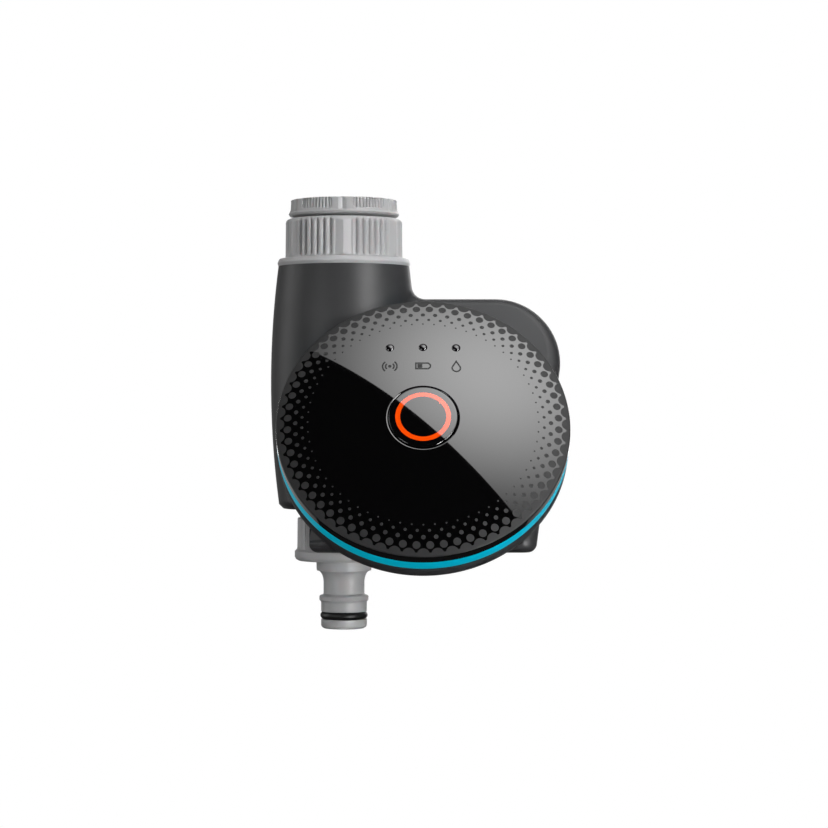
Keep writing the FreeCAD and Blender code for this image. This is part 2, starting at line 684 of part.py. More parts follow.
def inlet_filter():
    """A slotted cone that keeps grit out of the valve."""
    brim_foot = f"{TUBE_TOP} - filter_brim"
    foot = f"{brim_foot} - filter_depth"
    bore = "tube_radius - tube_wall - fit_play"
    cone = turned("filter_cone", [
        ("0", foot),
        ("filter_foot_radius", foot),
        (bore, brim_foot),
        ("filter_recess_radius - fit_play", brim_foot),
        ("filter_recess_radius - fit_play", TUBE_TOP),
        (f"{bore} - filter_wall", TUBE_TOP),
        (f"{bore} - filter_wall", brim_foot),
        ("filter_foot_radius - filter_wall", f"{foot} + filter_wall"),
        ("0", f"{foot} + filter_wall"),
    ])
    slots = []
    for index in range(int(worth("filter_slot_count") / 2)):
        slot = block(f"filter_slot_{index}", "3 * tube_radius", "filter_slot_width",
                     "filter_depth - 3 * filter_brim")
        angle = f"{index} * 360 / filter_slot_count"
        place(slot, f"-1.5 * tube_radius * cos({angle}) + filter_slot_width / 2 * sin({angle})",
              f"-1.5 * tube_radius * sin({angle}) - filter_slot_width / 2 * cos({angle})",
              f"{foot} + 1.5 * filter_brim", (0, 0, 1), angle)
        slots.append(slot)
    return sub_part(cut("filter", cone, slots), "inlet_filter")


def valve_screw_places():
    """The four bonnet screws: their places across the valve's axis."""
    reach = "bonnet_screw_circle * sqrt(0.5)"
    return [(f"{side} * {reach}", f"{lift} * {reach} - valve_drop")
            for side in (-1, 1) for lift in (-1, 1)]


def valve_body():
    """Inlet tube, diaphragm chamber with its seat, and outlet tube with its thread."""
    bore = "tube_radius - tube_wall"
    solid = joined("valve_solid", [
        upright("valve_stem", "stem_radius", "-column_bottom", COLUMN_TOP),
        upright("valve_tube", "tube_radius",
                f"{COLUMN_TOP} - wall - fit_play - lock_flange_height", TUBE_TOP),
        upright("valve_top_flange", "tube_flange_radius", f"{LIP_TOP} + seat_gap", TUBE_TOP),
        upright("valve_upper_lock", "lock_flange_radius",
                f"{COLUMN_TOP} - wall - fit_play - lock_flange_height",
                f"{COLUMN_TOP} - wall - fit_play"),
        upright("valve_lower_lock", "lock_flange_radius",
                "-column_bottom + wall + fit_play",
                "-column_bottom + wall + fit_play + lock_flange_height"),
        upright("valve_outlet", "outlet_thread_radius", OUTLET_END,
                "-column_bottom + wall + fit_play"),
        along_x("valve_boss", "boss_radius", "0", "boss_end"),
        along_x("valve_flange", "valve_flange_radius", "boss_end - valve_flange_height",
                "boss_end"),
    ])
    chamber = cut("chamber_ring", along_x("chamber_bore", "chamber_radius", "chamber_floor",
                                          "boss_end + 1"),
                  [along_x("seat_block", "seat_radius", "chamber_floor - 1", "seat_end")])
    tools = [
        chamber,
        upright("inlet_bore", bore, "inlet_bore_rise - valve_drop", f"{TUBE_TOP} + 1"),
        upright("filter_recess", "filter_recess_radius", f"{TUBE_TOP} - filter_brim",
                f"{TUBE_TOP} + 1"),
        along_x("seat_hole", "seat_bore", "0", "boss_end"),
        upright("outlet_passage", "seat_bore", "-valve_drop - outlet_bore_drop - 1",
                "-valve_drop"),
        upright("outlet_bore", bore, f"{OUTLET_END} - 1", "-valve_drop - outlet_bore_drop"),
    ]
    for index, (across, height) in enumerate(valve_screw_places()):
        hole = cylinder(f"valve_screw_hole_{index}", "screw_radius + screw_play",
                        "2 * valve_flange_height")
        tools.append(place(hole, "boss_end - 1.5 * valve_flange_height", across, height,
                           (0, 1, 0), "90"))
    return sub_part(cut("valve_block", solid, tools), "valve_body")


def diaphragm():
    """The rubber diaphragm, which rests on the seat while the valve is shut."""
    face = "seat_end + fit_play"
    rim_face = "boss_end + fit_play"
    body = turned("diaphragm", [
        (face, "0"),
        (face, "seat_radius + 0.8"),
        (rim_face, "chamber_radius - 1.3"),
        (rim_face, "diaphragm_rim_radius"),
        (f"{rim_face} + diaphragm_thickness", "diaphragm_rim_radius"),
        (f"{rim_face} + diaphragm_thickness", "chamber_radius - 1.7"),
        (f"{face} + diaphragm_thickness", "seat_radius + 0.4"),
        (f"{face} + diaphragm_thickness", "0"),
    ], about="H_Axis")
    return sub_part(place(body, z="-valve_drop"), "diaphragm")


PLATE_FACE = "seat_end + 2 * fit_play + diaphragm_thickness"
BONNET_FACE = "boss_end + 2 * fit_play + diaphragm_thickness"
PILOT_SEAT = "bonnet_end"
TIP_FACE = f"{PILOT_SEAT} + fit_play"
PLUNGER_FACE = f"{TIP_FACE} + plunger_tip_length"
PLUNGER_END = f"{PLUNGER_FACE} + plunger_length"
CORE_FACE = f"{PLUNGER_END} + plunger_travel + fit_play"
MAGNET_FACE = f"{CORE_FACE} + core_length + fit_play"
GUIDE_END = f"{MAGNET_FACE} + magnet_length + fit_play"
GUIDE_OUTER = "plunger_radius + plunger_play + guide_wall"


def diaphragm_plate():
    """The stiff plate that carries the diaphragm, with a stem for its spring."""
    body = turned("diaphragm_plate", [
        (PLATE_FACE, "0"),
        (PLATE_FACE, "plate_radius"),
        (f"{PLATE_FACE} + plate_thickness", "plate_radius"),
        (f"{PLATE_FACE} + plate_thickness", "plate_stem_radius"),
        (f"{PLATE_FACE} + plate_thickness + plate_stem_length", "plate_stem_radius"),
        (f"{PLATE_FACE} + plate_thickness + plate_stem_length", "0"),
    ], about="H_Axis")
    return sub_part(place(body, z="-valve_drop"), "diaphragm_plate")


def valve_bonnet():
    """The cap over the diaphragm, with the pilot hole and the plunger's closed tube."""
    inner = "plunger_radius + plunger_play"
    body = turned("bonnet_turned", [
        (BONNET_FACE, "bonnet_bore"),
        (BONNET_FACE, "valve_flange_radius"),
        (f"{BONNET_FACE} + bonnet_flange_height", "valve_flange_radius"),
        (f"{BONNET_FACE} + bonnet_flange_height", "bonnet_dome_radius"),
        (PILOT_SEAT, "bonnet_dome_radius"),
        (PILOT_SEAT, GUIDE_OUTER),
        (f"{GUIDE_END} + guide_wall", GUIDE_OUTER),
        (f"{GUIDE_END} + guide_wall", "0"),
        (GUIDE_END, "0"),
        (GUIDE_END, inner),
        (PILOT_SEAT, inner),
        (PILOT_SEAT, "pilot_radius"),
        (f"{PILOT_SEAT} - bonnet_roof", "pilot_radius"),
        (f"{PILOT_SEAT} - bonnet_roof", "bonnet_bore"),
    ], about="H_Axis")
    place(body, z="-valve_drop")
    holes = []
    for index, (across, height) in enumerate(valve_screw_places()):
        hole = cylinder(f"bonnet_hole_{index}", "screw_radius + screw_play",
                        "2 * bonnet_flange_height")
        holes.append(place(hole, "boss_end - 1", across, height, (0, 1, 0), "90"))
    return sub_part(cut("bonnet", body, holes), "valve_bonnet")


def bonnet_screws():
    """Four screws that hold the bonnet to the valve body."""
    screws = []
    for index, (across, height) in enumerate(valve_screw_places()):
        one = screw(f"bonnet_screw_{index}", "screw_radius", "screw_head_radius",
                    "screw_head_height", "bonnet_flange_height + valve_flange_height")
        screws.append(place(one, f"{BONNET_FACE} + bonnet_flange_height", across, height,
                            (0, 1, 0), "90"))
    return sub_part(group("bonnet_screw_set", screws), "bonnet_screws")


def x_spring(label, radius, start, length, turns):
    """A spring on the valve's axis."""
    coil = spring(label, radius, "spring_wire_radius", length, turns)
    start = f"{start} + spring_wire_radius"
    return sub_part(place(coil, start, "0", "-valve_drop", (0, 1, 0), "90"), label)


def plunger_set():
    """Plunger with its rubber tip, its spring, the fixed core and the latching magnet."""
    plunger = turned("plunger", [
        (PLUNGER_FACE, "0"),
        (PLUNGER_FACE, "plunger_radius"),
        (PLUNGER_END, "plunger_radius"),
        (PLUNGER_END, "plunger_bore"),
        (f"{PLUNGER_END} - plunger_bore_depth", "plunger_bore"),
        (f"{PLUNGER_END} - plunger_bore_depth", "0"),
    ], about="H_Axis")
    sub_part(place(plunger, z="-valve_drop"), "plunger")
    sub_part(along_x("tip", "plunger_tip_radius", TIP_FACE, PLUNGER_FACE), "plunger_tip")
    x_spring("plunger_spring", "plunger_spring_radius",
             f"{PLUNGER_END} - plunger_bore_depth + fit_play",
             "plunger_bore_depth + plunger_travel - fit_play", 5)
    sub_part(along_x("core", "plunger_radius", CORE_FACE, f"{CORE_FACE} + core_length"),
             "solenoid_core")
    sub_part(along_x("magnet", "plunger_radius", MAGNET_FACE,
                     f"{MAGNET_FACE} + magnet_length"), "latch_magnet")


def solenoid():
    """Bobbin, copper winding and steel yoke round the plunger's tube."""
    far = "coil_start + coil_length"
    hole = f"{GUIDE_OUTER} + fit_play"
    barrel = f"{hole} + bobbin_wall"
    bobbin = turned("coil_bobbin", [
        ("coil_start", hole),
        ("coil_start", "bobbin_radius"),
        ("coil_start + bobbin_wall", "bobbin_radius"),
        ("coil_start + bobbin_wall", barrel),
        (f"{far} - bobbin_wall", barrel),
        (f"{far} - bobbin_wall", "bobbin_radius"),
        (far, "bobbin_radius"),
        (far, hole),
    ], about="H_Axis")
    sub_part(place(bobbin, z="-valve_drop"), "coil_bobbin")
    winding = turned("solenoid_coil", [
        ("coil_start + bobbin_wall", barrel),
        ("coil_start + bobbin_wall", "winding_radius"),
        (f"{far} - bobbin_wall", "winding_radius"),
        (f"{far} - bobbin_wall", barrel),
    ], about="H_Axis")
    sub_part(place(winding, z="-valve_drop"), "solenoid_coil")
    near_face = "coil_start - yoke_thickness"
    far_face = f"{far} + yoke_thickness"
    inside = "-valve_drop + bobbin_radius + fit_play"
    foot = "-valve_drop - bobbin_radius"
    half = "yoke_width / 2"
    frame = joined("yoke_frame", [
        span_block("yoke_near", (near_face, f"-{half}", foot),
                   ("coil_start", half, f"{inside} + yoke_thickness")),
        span_block("yoke_far", (far, f"-{half}", foot),
                   (far_face, half, f"{inside} + yoke_thickness")),
        span_block("yoke_bridge", (near_face, f"-{half}", inside),
                   (far_face, half, f"{inside} + yoke_thickness")),
    ])
    opening = along_x("yoke_hole", hole, f"{near_face} - 1", f"{far_face} + 1")
    sub_part(cut("yoke", frame, [opening]), "coil_yoke")


def barrel(name, inset):
    """The barrel round the water axis, drawn in by the inset."""
    top = f"{COLUMN_TOP} - {inset}"
    foot = f"-column_bottom + {inset}"
    bend = f"{foot} + column_foot_chamfer"
    # A shallow arc whose rise is the belly over the mean of both ends
    rise = "(column_belly_radius - (column_top_radius + column_foot_radius) / 2)"
    chord = f"(({top}) - ({bend}))"
    # Half a turn puts the seam of the arched side on the left, away from the box
    return place(turned(name, [
        ("0", foot),
        (f"column_foot_radius - {inset} - column_foot_chamfer", foot),
        (f"column_foot_radius - {inset}", bend),
        (f"column_top_radius - {inset}", top),
        ("0", top),
    ], {2: (f"({chord}^2 / 4 + {rise}^2) / (2 * {rise})", 1)}), axis=(0, 0, 1), angle="180")


def facing(face):
    """The direction that the middle of a face looks in."""
    low_u, high_u, low_v, high_v = face.ParameterRange
    return face.normalAt((low_u + high_u) / 2, (low_v + high_v) / 2)


def box_corner(edge, shape):
    """A test for the box's long edges, between its top or right side and a face in depth."""
    views = [facing(face) for face in shape.ancestorsOfType(edge, Part.Face)]
    in_depth = any(abs(view.y) > 0.2 for view in views)
    side = any(abs(view.y) < 0.01 and (view.z > 0.5 or view.x > 0.5) for view in views)
    return in_depth and side


def saddle_corner(edge, shape):
    """A test for the edges where the arched side of the barrel meets the box."""
    kinds = [face.Surface.TypeId for face in shape.ancestorsOfType(edge, Part.Face)]
    arched = kinds.count("Part::GeomSurfaceOfRevolution")
    straight = isinstance(edge.Curve, Part.Circle) or "Part::GeomCone" in kinds
    return arched == 1 and not straight


def edge_along(direction, fixed):
    """A test for straight edges along one axis at a fixed place on the other two."""
    def chosen(edge, shape):
        if not isinstance(edge.Curve, Part.Line):
            return False
        ends = [vertex.Point for vertex in edge.Vertexes]
        if abs(abs(edge.Curve.Direction[direction]) - 1) > 0.001:
            return False
        return all(abs(ends[0][axis] - worth(text)) < 0.01 for axis, text in fixed.items())
    return chosen


def box_form(name, inset):
    """The box behind the head, drawn in by the inset, cut off behind the head's shell."""
    top = f"-box_top - {inset}"
    foot = f"-box_bottom + {inset}"
    left = f"box_left + {inset}"
    lean = "(box_right - box_foot_right) / (box_bottom - box_right_drop)"
    side = f"box_right - {inset} + {lean} * (box_right_drop - box_top)"
    front = padded(name + "_front", "XZ_Plane", [
        (left, foot), (f"box_foot_right - {inset}", foot), (side, top), (left, top),
    ], "4 * box_right", True)
    soften(front, f"shoulder_round - {inset}", edge_along(1, {0: side, 2: top}))
    back = f"box_back - {inset}"
    foot_back = f"box_foot_back - {inset}"

    def face_y(height):
        """The slanted front at a height."""
        return (f"head_y + (({inset}) - ({SHELL_BACK}) + (({height}) - head_z)"
                f" * sin(face_tilt)) / cos(face_tilt)")

    side_view = padded(name + "_side", "YZ_Plane", [
        (back, top), (face_y(top), top), (face_y(foot), foot), (foot_back, foot),
        (foot_back, "box_slant_foot - box_bottom"), (back, "box_slant_top - box_bottom"),
    ], "4 * box_right", True)
    whole = bodied(name, shared(name + "_blank", [front, side_view]))
    soften(whole, f"box_edge_round - {inset}", box_corner)
    return soften(whole, f"foot_round - {inset}", edge_along(1, {2: foot}))


def outer_form(name, inset):
    """Barrel and box as one."""
    return joined(name, [barrel(name + "_barrel", inset), box_form(name + "_box", inset)])


def recess_cylinder(name, play, depth):
    """A cylinder in front of a plane behind the head's shell, wider than the shell."""
    tool = cylinder(name, f"{SHELL_RADIUS} + {play}", "2 * cover_radius")
    return on_head(tool, rise=f"{SHELL_BACK} - ({depth})")


def front_opening():
    """The way for leads between box and head."""
    leads = cylinder("lead_opening", SHELL_OPENING, "4 * wall")
    return on_head(leads, rise=f"{SHELL_BACK} - 2 * wall")


BAY_HALF = ("((cell_length + contact_spring_length + 2 * contact_thickness) / 2"
            " + tray_wall + tray_play)")
BAY_BACK = "cell_back_y + cell_radius + cell_play"
BAY_FRONT = "cell_back_y - cell_pitch - cell_radius - cell_play"
BAY_MIDDLE = "cell_back_y - cell_radius - cell_play"
BAY_STEP = "cell_rise - box_bottom + cell_radius + cell_play"
BAY_TOP = f"{BAY_STEP} + cell_pitch"


def bay_form(name, grow, foot):
    """The stepped space of the battery bay, grown by its wall, with a slanted front."""
    lower = span_block(name + "_lower",
                       (f"cell_x - {BAY_HALF} - ({grow})", f"{BAY_FRONT} - ({grow})", foot),
                       (f"cell_x + {BAY_HALF} + ({grow})", f"{BAY_BACK} + ({grow})",
                        f"{BAY_STEP} + ({grow})"))
    upper = span_block(name + "_upper",
                       (f"cell_x - {BAY_HALF} - ({grow})", f"{BAY_MIDDLE} - ({grow})", foot),
                       (f"cell_x + {BAY_HALF} + ({grow})", f"{BAY_BACK} + ({grow})",
                        f"{BAY_TOP} + ({grow})"))
    behind = block(name + "_behind", "4 * cover_radius", "4 * cover_radius", "cover_radius")
    on_head(behind, "-2 * cover_radius", "-2 * cover_radius",
            f"-bay_front_depth - bay_wall + ({grow}) - cover_radius")
    return shared(name, [joined(name + "_blocks", [lower, upper]), behind])


def housing_bosses(name, low, high):
    """Posts for the housing screws, between two planes across the depth."""
    posts = []
    for index, (across, drop) in enumerate(HOUSING_SCREWS):
        post = cylinder(f"{name}_{index}", "housing_boss_radius", f"({high}) - ({low})")
        posts.append(place(post, across, high, f"-{drop}", (1, 0, 0), "90"))
    return posts


def housing_holes(name, radius, low, high):
    """Round holes on the housing screws' axes."""
    holes = []
    for index, (across, drop) in enumerate(HOUSING_SCREWS):
        hole = cylinder(f"{name}_{index}", radius, f"({high}) - ({low})")
        holes.append(place(hole, across, high, f"-{drop}", (1, 0, 0), "90"))
    return holes


def housings():
    """The two dark shells round valve and batteries, and the gasket between them."""
    blank = outer_form("outer_form", "0")
    outer = soften(bodied("outer_body", blank), "saddle_round", saddle_corner)
    inner = cut("inner_space", outer_form("inner_form", "wall"),
                [recess_cylinder("recess_wall", "recess_play + wall", "wall")])
    gasket_line = outer_form("gasket_line", "gasket_inset")
    far = "4 * box_right"
    front_half = span_block("front_half", (f"-{far}", f"-{far}", f"-{far}"),
                            (far, "split_y", far))
    rear_half = span_block("rear_half", (f"-{far}", "split_y", f"-{far}"), (far, far, far))
    hollow = cut("hollow", outer, [inner])
    slab = span_block("gasket_slab", (f"-{far}", "split_y - gasket_height / 2", f"-{far}"),
                      (far, "split_y + gasket_height / 2", far))
    front_posts = shared("front_posts", [outer, joined("front_post_set", housing_bosses(
        "front_post", "split_y - housing_boss_depth", "split_y"))])
    rear_posts = shared("rear_posts", [outer, joined("rear_post_set", housing_bosses(
        "rear_post", "split_y", "box_back"))])
    tube_ways = [
        upright("inlet_way", "tube_radius + fit_play", f"{COLUMN_TOP} - 2 * wall",
                f"{COLUMN_TOP} + wall"),
        upright("outlet_way", "outlet_thread_radius + fit_play", "-column_bottom - wall",
                "-column_bottom + 2 * wall"),
    ]
    gasket = cut("gasket", shared("gasket_band", [hollow, gasket_line, slab]),
                 [front_posts, rear_posts] + tube_ways)
    sub_part(gasket, "housing_gasket")

    head_posts = []
    head_holes = []
    for index, (across, up) in enumerate(HEAD_SCREWS):
        post = cylinder(f"head_post_{index}", "standoff_radius", "2 * standoff_radius")
        on_head(post, across, up, f"{SHELL_BACK} - 2 * standoff_radius + fit_play")
        head_posts.append(post)
        hole = cylinder(f"head_post_hole_{index}", "small_screw_radius + screw_play",
                        "4 * standoff_radius")
        on_head(hole, across, up, f"{SHELL_BACK} - 2 * standoff_radius + 2 * fit_play")
        head_holes.append(hole)
    head_post_set = shared("head_posts", [outer, joined("head_post_set", head_posts)])
    bay_room = bay_form("bay_room", "bay_wall + fit_play", "-box_bottom - wall")
    keep_bay_floor = span_block("bay_floor_limit", (f"-{far}", f"-{far}", "-box_bottom + wall"),
                                (far, far, far))
    front_solid = joined("front_solid", [
        shared("front_wall", [hollow, front_half]), front_posts, head_post_set])
    tray_way = bay_form("tray_way", "0", "-box_bottom - wall")
    front = cut("front_shell", front_solid, [
        gasket, recess_cylinder("head_recess", "recess_play", "0"), front_opening(), tray_way,
        shared("bay_pocket", [bay_room, keep_bay_floor]),
    ] + tube_ways + head_holes + housing_holes(
        "pilot_hole", "screw_radius + screw_play", "housing_screw_seat - housing_screw_length"
        " - wall", "box_back"))
    sub_part(front, "front_housing")
    rear_solid = joined("rear_solid", [shared("rear_wall", [hollow, rear_half]), rear_posts])
    rear = cut("rear_shell", rear_solid, [gasket] + tube_ways + housing_holes(
        "rear_hole", "screw_radius + screw_play", "-box_back", "box_back") + housing_holes(
        "head_pocket", "screw_head_radius + 3 * screw_play", "housing_screw_seat",
        "3 * box_back"))
    sub_part(rear, "rear_housing")

    screws = []
    for index, (across, drop) in enumerate(HOUSING_SCREWS):
        one = screw(f"housing_screw_{index}", "screw_radius", "screw_head_radius",
                    "screw_head_height", "housing_screw_length")
        screws.append(place(one, across, "housing_screw_seat", f"-{drop}", (1, 0, 0), "-90"))
    sub_part(group("housing_screw_set", screws), "housing_screws")


def head_shell():
    """The round dark shell that carries the board, the colour ring and the cover."""
    body = turned("shell_turned", [
        (SHELL_OPENING, SHELL_BACK),
        (SHELL_RADIUS, SHELL_BACK),
        (SHELL_RADIUS, SHELL_TOP),
        (REGISTER, SHELL_TOP),
        (REGISTER, REGISTER_TOP),
        (f"{REGISTER} - register_wall", REGISTER_TOP),
        (f"{REGISTER} - register_wall", SHELL_FLOOR),
        (SHELL_OPENING, SHELL_FLOOR),
    ])
    soften(body, "shell_round", rim(SHELL_RADIUS, SHELL_BACK))
    on_head(body)
    posts = []
    holes = []
    for index, (across, up) in enumerate(BOARD_SCREWS):
        post = cylinder(f"standoff_{index}", "standoff_radius",
                        f"({BOARD_FOOT}) - ({SHELL_FLOOR}) + shell_floor / 2")
        posts.append(on_head(post, across, up, f"{SHELL_FLOOR} - shell_floor / 2"))
        hole = cylinder(f"standoff_hole_{index}", "small_screw_radius + screw_play",
                        "2 * standoff_radius")
        holes.append(on_head(hole, across, up, f"{SHELL_FLOOR} - shell_floor / 4"))
    for index, (across, up) in enumerate(HEAD_SCREWS):
        hole = cylinder(f"shell_hole_{index}", "small_screw_radius + screw_play",
                        "2 * shell_height")
        holes.append(on_head(hole, across, up, f"{SHELL_BACK} - shell_height"))
    bay_room = bay_form("shell_bay_room", "bay_wall + fit_play", "-box_bottom")
    whole = cut("shell", joined("shell_solid", [body] + posts), holes + [bay_room])
    return sub_part(whole, "head_shell")


def face_screws(label, places, seat, length):
    """Small screws across the face, their heads on a seat."""
    screws = []
    for index, (across, up) in enumerate(places):
        one = screw(f"{label}_{index}", "small_screw_radius", "small_head_radius",
                    "small_head_height", length)
        screws.append(on_head(one, across, up, seat))
    return sub_part(group(label + "_set", screws), label)


def colour_ring():
    """The bright ring between shell and cover."""
    body = turned("colour_ring", [
        (f"{REGISTER} + fit_play", SHELL_TOP),
        ("cover_radius", SHELL_TOP),
        ("cover_radius", "-cover_side"),
        (f"{REGISTER} + fit_play", "-cover_side"),
    ])
    return sub_part(on_head(body), "colour_ring")


DOME = "((cover_radius^2 + dome_height^2) / (2 * dome_height))"
BEZEL_INNER = "button_radius + button_play"
HOLE_RADIUS = f"{BEZEL_INNER} + bezel_wall + fit_play"


def dome_at(radius, inset="0"):
    """Height of the cover's domed face at a radius, or of a face inside it."""
    return f"dome_height - {DOME} + sqrt(({DOME} - ({inset}))^2 - ({radius})^2)"


def front_cover():
    """The domed cover with its button hole and three lamp holes."""
    inner = f"{REGISTER} + 2 * fit_play"
    collar = f"{HOLE_RADIUS} + hole_boss_wall"
    body = turned("cover_turned", [
        (HOLE_RADIUS, "-hole_boss_foot"),
        (collar, "-hole_boss_foot"),
        (collar, dome_at(collar, "cover_wall")),
        (inner, dome_at(inner, "cover_wall")),
        (inner, "-cover_side"),
        ("cover_radius", "-cover_side"),
        ("cover_radius", "0"),
        (HOLE_RADIUS, dome_at(HOLE_RADIUS)),
    ], {2: (f"{DOME} - cover_wall", -1), 6: (DOME, 1)})
    soften(body, "cover_round", rim("cover_radius", "0"))
    on_head(body)
    holes = []
    for index in (-1, 0, 1):
        hole = cylinder(f"lamp_hole_{index + 1}", "guide_radius + fit_play",
                        "2 * cover_side + dome_height")
        holes.append(on_head(hole, f"{index} * lamp_pitch", LAMP_ROW, "-cover_side"))
    return sub_part(cut("cover", body, holes), "front_cover")


def cover_seal():
    """The soft ring between the shell's rim and the cover."""
    inner = f"{REGISTER} - register_wall + fit_play"
    top = dome_at(REGISTER, "cover_wall") + " - fit_play"
    body = turned("cover_seal", [
        (inner, REGISTER_TOP),
        (REGISTER, REGISTER_TOP),
        (REGISTER, top),
        (inner, top),
    ])
    return sub_part(on_head(body), "cover_seal")


def button_set():
    """Push button with its orange ring, bright bezel and rubber skirt."""
    crown = "dome_height + button_rise"
    shoulder = f"{crown} - 0.4"
    ring_floor = f"{shoulder} - light_ring_depth"
    flange_top = "-hole_boss_foot - fit_play"
    flange_foot = f"{flange_top} - button_flange_height"
    inner = "button_radius - button_wall"
    stem_foot = f"{BOARD_TOP} + switch_height + switch_pin_height + button_travel + fit_play"
    button = turned("button", [
        ("0", stem_foot),
        ("button_stem_radius", stem_foot),
        ("button_stem_radius", f"{ring_floor} - button_wall"),
        (inner, f"{ring_floor} - button_wall"),
        (inner, flange_foot),
        ("button_flange_radius", flange_foot),
        ("button_flange_radius", flange_top),
        ("button_radius", flange_top),
        ("button_radius", f"{shoulder} - 0.3"),
        ("button_radius - 0.4", shoulder),
        ("light_ring_outer", f"{shoulder} + 0.15"),
        ("light_ring_outer", ring_floor),
        ("light_ring_inner", ring_floor),
        ("light_ring_inner", f"{shoulder} + 0.25"),
        ("0", crown),
    ])
    sub_part(on_head(button), "button")
    ring = turned("button_ring", [
        ("light_ring_inner + fit_play / 2", ring_floor),
        ("light_ring_outer - fit_play / 2", ring_floor),
        ("light_ring_outer - fit_play / 2", f"{shoulder} + 0.15"),
        ("light_ring_inner + fit_play / 2", f"{shoulder} + 0.25"),
    ])
    sub_part(on_head(ring), "button_ring")
    bezel = turned("button_bezel", [
        (BEZEL_INNER, "-hole_boss_foot"),
        (f"{BEZEL_INNER} + bezel_wall", "-hole_boss_foot"),
        (f"{BEZEL_INNER} + bezel_wall", dome_at(HOLE_RADIUS) + " + 0.1"),
        (BEZEL_INNER, dome_at(HOLE_RADIUS) + " + 0.3"),
    ])
    sub_part(on_head(bezel), "button_bezel")
    skirt = turned("button_skirt", [
        ("button_flange_radius - dome_wall", BOARD_TOP),
        ("button_flange_radius", BOARD_TOP),
        (f"button_flange_radius - dome_wall", f"{flange_foot} - fit_play"),
        (f"button_flange_radius - 2 * dome_wall", f"{flange_foot} - fit_play"),
    ])
    sub_part(on_head(skirt), "button_skirt")


def board_set():
    """Circuit board with its switch, lamps, light guides, radio, antenna and capacitors."""
    board = on_head(cylinder("board", BOARD_RADIUS, "board_thickness"), rise=BOARD_FOOT)
    holes = []
    for index, (across, up) in enumerate(BOARD_SCREWS):
        hole = cylinder(f"board_hole_{index}", "small_screw_radius + screw_play",
                        "3 * board_thickness")
        holes.append(on_head(hole, across, up, f"{BOARD_FOOT} - board_thickness"))
    sub_part(cut("board_drilled", board, holes), "circuit_board")
    case = chip("switch_case", "switch_side", "switch_side", "switch_height", "0", "0",
                BOARD_TOP)
    pin = cylinder("switch_pin", "switch_pin_radius", "switch_pin_height + fit_play")
    on_head(pin, rise=f"{BOARD_TOP} + switch_height - fit_play")
    sub_part(joined("switch", [case, pin]), "push_switch")
    lamps = []
    guides = []
    for index in (-1, 0, 1):
        across = f"{index} * lamp_pitch"
        lamps.append(chip(f"lamp_{index + 1}", "lamp_length", "lamp_width", "lamp_height",
                          across, LAMP_ROW, BOARD_TOP))
        reach = f"sqrt({LAMP_ROW}^2 + ({across})^2)"
        foot = f"{BOARD_TOP} + lamp_height + fit_play"
        crown = dome_at(reach) + " + guide_rise"
        under = dome_at(f"{reach} + guide_flange_radius", "cover_wall") + " - fit_play"
        guide = turned(f"guide_{index + 1}", [
            ("0", foot),
            ("guide_radius", foot),
            ("guide_radius", f"{under} - 0.8"),
            ("guide_flange_radius", f"{under} - 0.8"),
            ("guide_flange_radius", under),
            ("guide_radius", under),
            ("guide_radius", f"{crown} - guide_radius / 2"),
            ("0", crown),
        ], {6: ("guide_radius * 1.25", 1)})
        guides.append(on_head(guide, across, LAMP_ROW))
    sub_part(group("lamp_set", lamps), "leds")
    sub_part(group("guide_set", guides), "light_guides")
    side = f"{BOARD_CIRCLE} * 0.66"
    sub_part(chip("radio", "radio_length", "radio_width", "radio_height", side,
                  "-radio_width / 4", BOARD_TOP), "radio_module")
    across_board = f"-{BOARD_CIRCLE} * 0.68"
    mast = chip("antenna_mast", "antenna_sheet * 1.5", "antenna_width", "antenna_height",
                "-antenna_length / 2 + antenna_sheet * 0.75", across_board, BOARD_TOP)
    arm = chip("antenna_arm", "antenna_length", "antenna_width", "antenna_sheet", "0",
               across_board, f"{BOARD_TOP} + antenna_height - antenna_sheet")
    sub_part(joined("antenna_strip", [mast, arm]), "antenna")
    capacitors = []
    for index in (1, 2):
        can = cylinder(f"capacitor_{index}", "can_radius", "can_height")
        capacitors.append(on_head(can, f"-{side}", f"can_radius * 1.5 - {index} * can_pitch",
                                  BOARD_TOP))
    sub_part(group("capacitor_set", capacitors), "capacitors")
    sockets = []
    for name, way in (("coil_socket", 1), ("battery_socket", -1)):
        sockets.append(chip(name, "socket_length", "socket_width", "socket_height",
                            f"{way} * 1.5 * socket_length", f"{BOARD_CIRCLE} * 0.32",
                            f"{BOARD_FOOT} - socket_height"))
    sub_part(group("socket_set", sockets), "lead_sockets")


CELL_AXIS = "cell_rise - box_bottom"
CELL_PLACES = [("cell_back_y", CELL_AXIS), ("cell_back_y", f"{CELL_AXIS} + cell_pitch"),
               ("cell_back_y - cell_pitch", CELL_AXIS)]
CELL_LEFT = "cell_x - (cell_length + contact_spring_length) / 2"
CELL_RIGHT = "cell_x + (cell_length + contact_spring_length) / 2"


def battery_bay():
    """The sealed pocket of the housing that the tray slides into."""
    outer = bay_form("bay_outer", "bay_wall", "-box_bottom + wall")
    inner = bay_form("bay_inner", "0", "-box_bottom")
    return sub_part(cut("bay", outer, [inner]), "battery_bay")


def end_wall(name, side):
    """One stepped end wall of the tray; side is -1 on the left and 1 on the right."""
    face = CELL_LEFT + " - contact_thickness" if side < 0 else CELL_RIGHT + " + contact_thickness"
    low, high = (f"{face} - tray_wall", face) if side < 0 else (face, f"{face} + tray_wall")
    form = bay_form(name + "_form", "-cell_play", "-box_bottom")
    slice_block = span_block(name + "_slice", (low, "-4 * cover_radius", "-box_bottom"),
                             (high, "0", "0"))
    return shared(name, [form, slice_block])


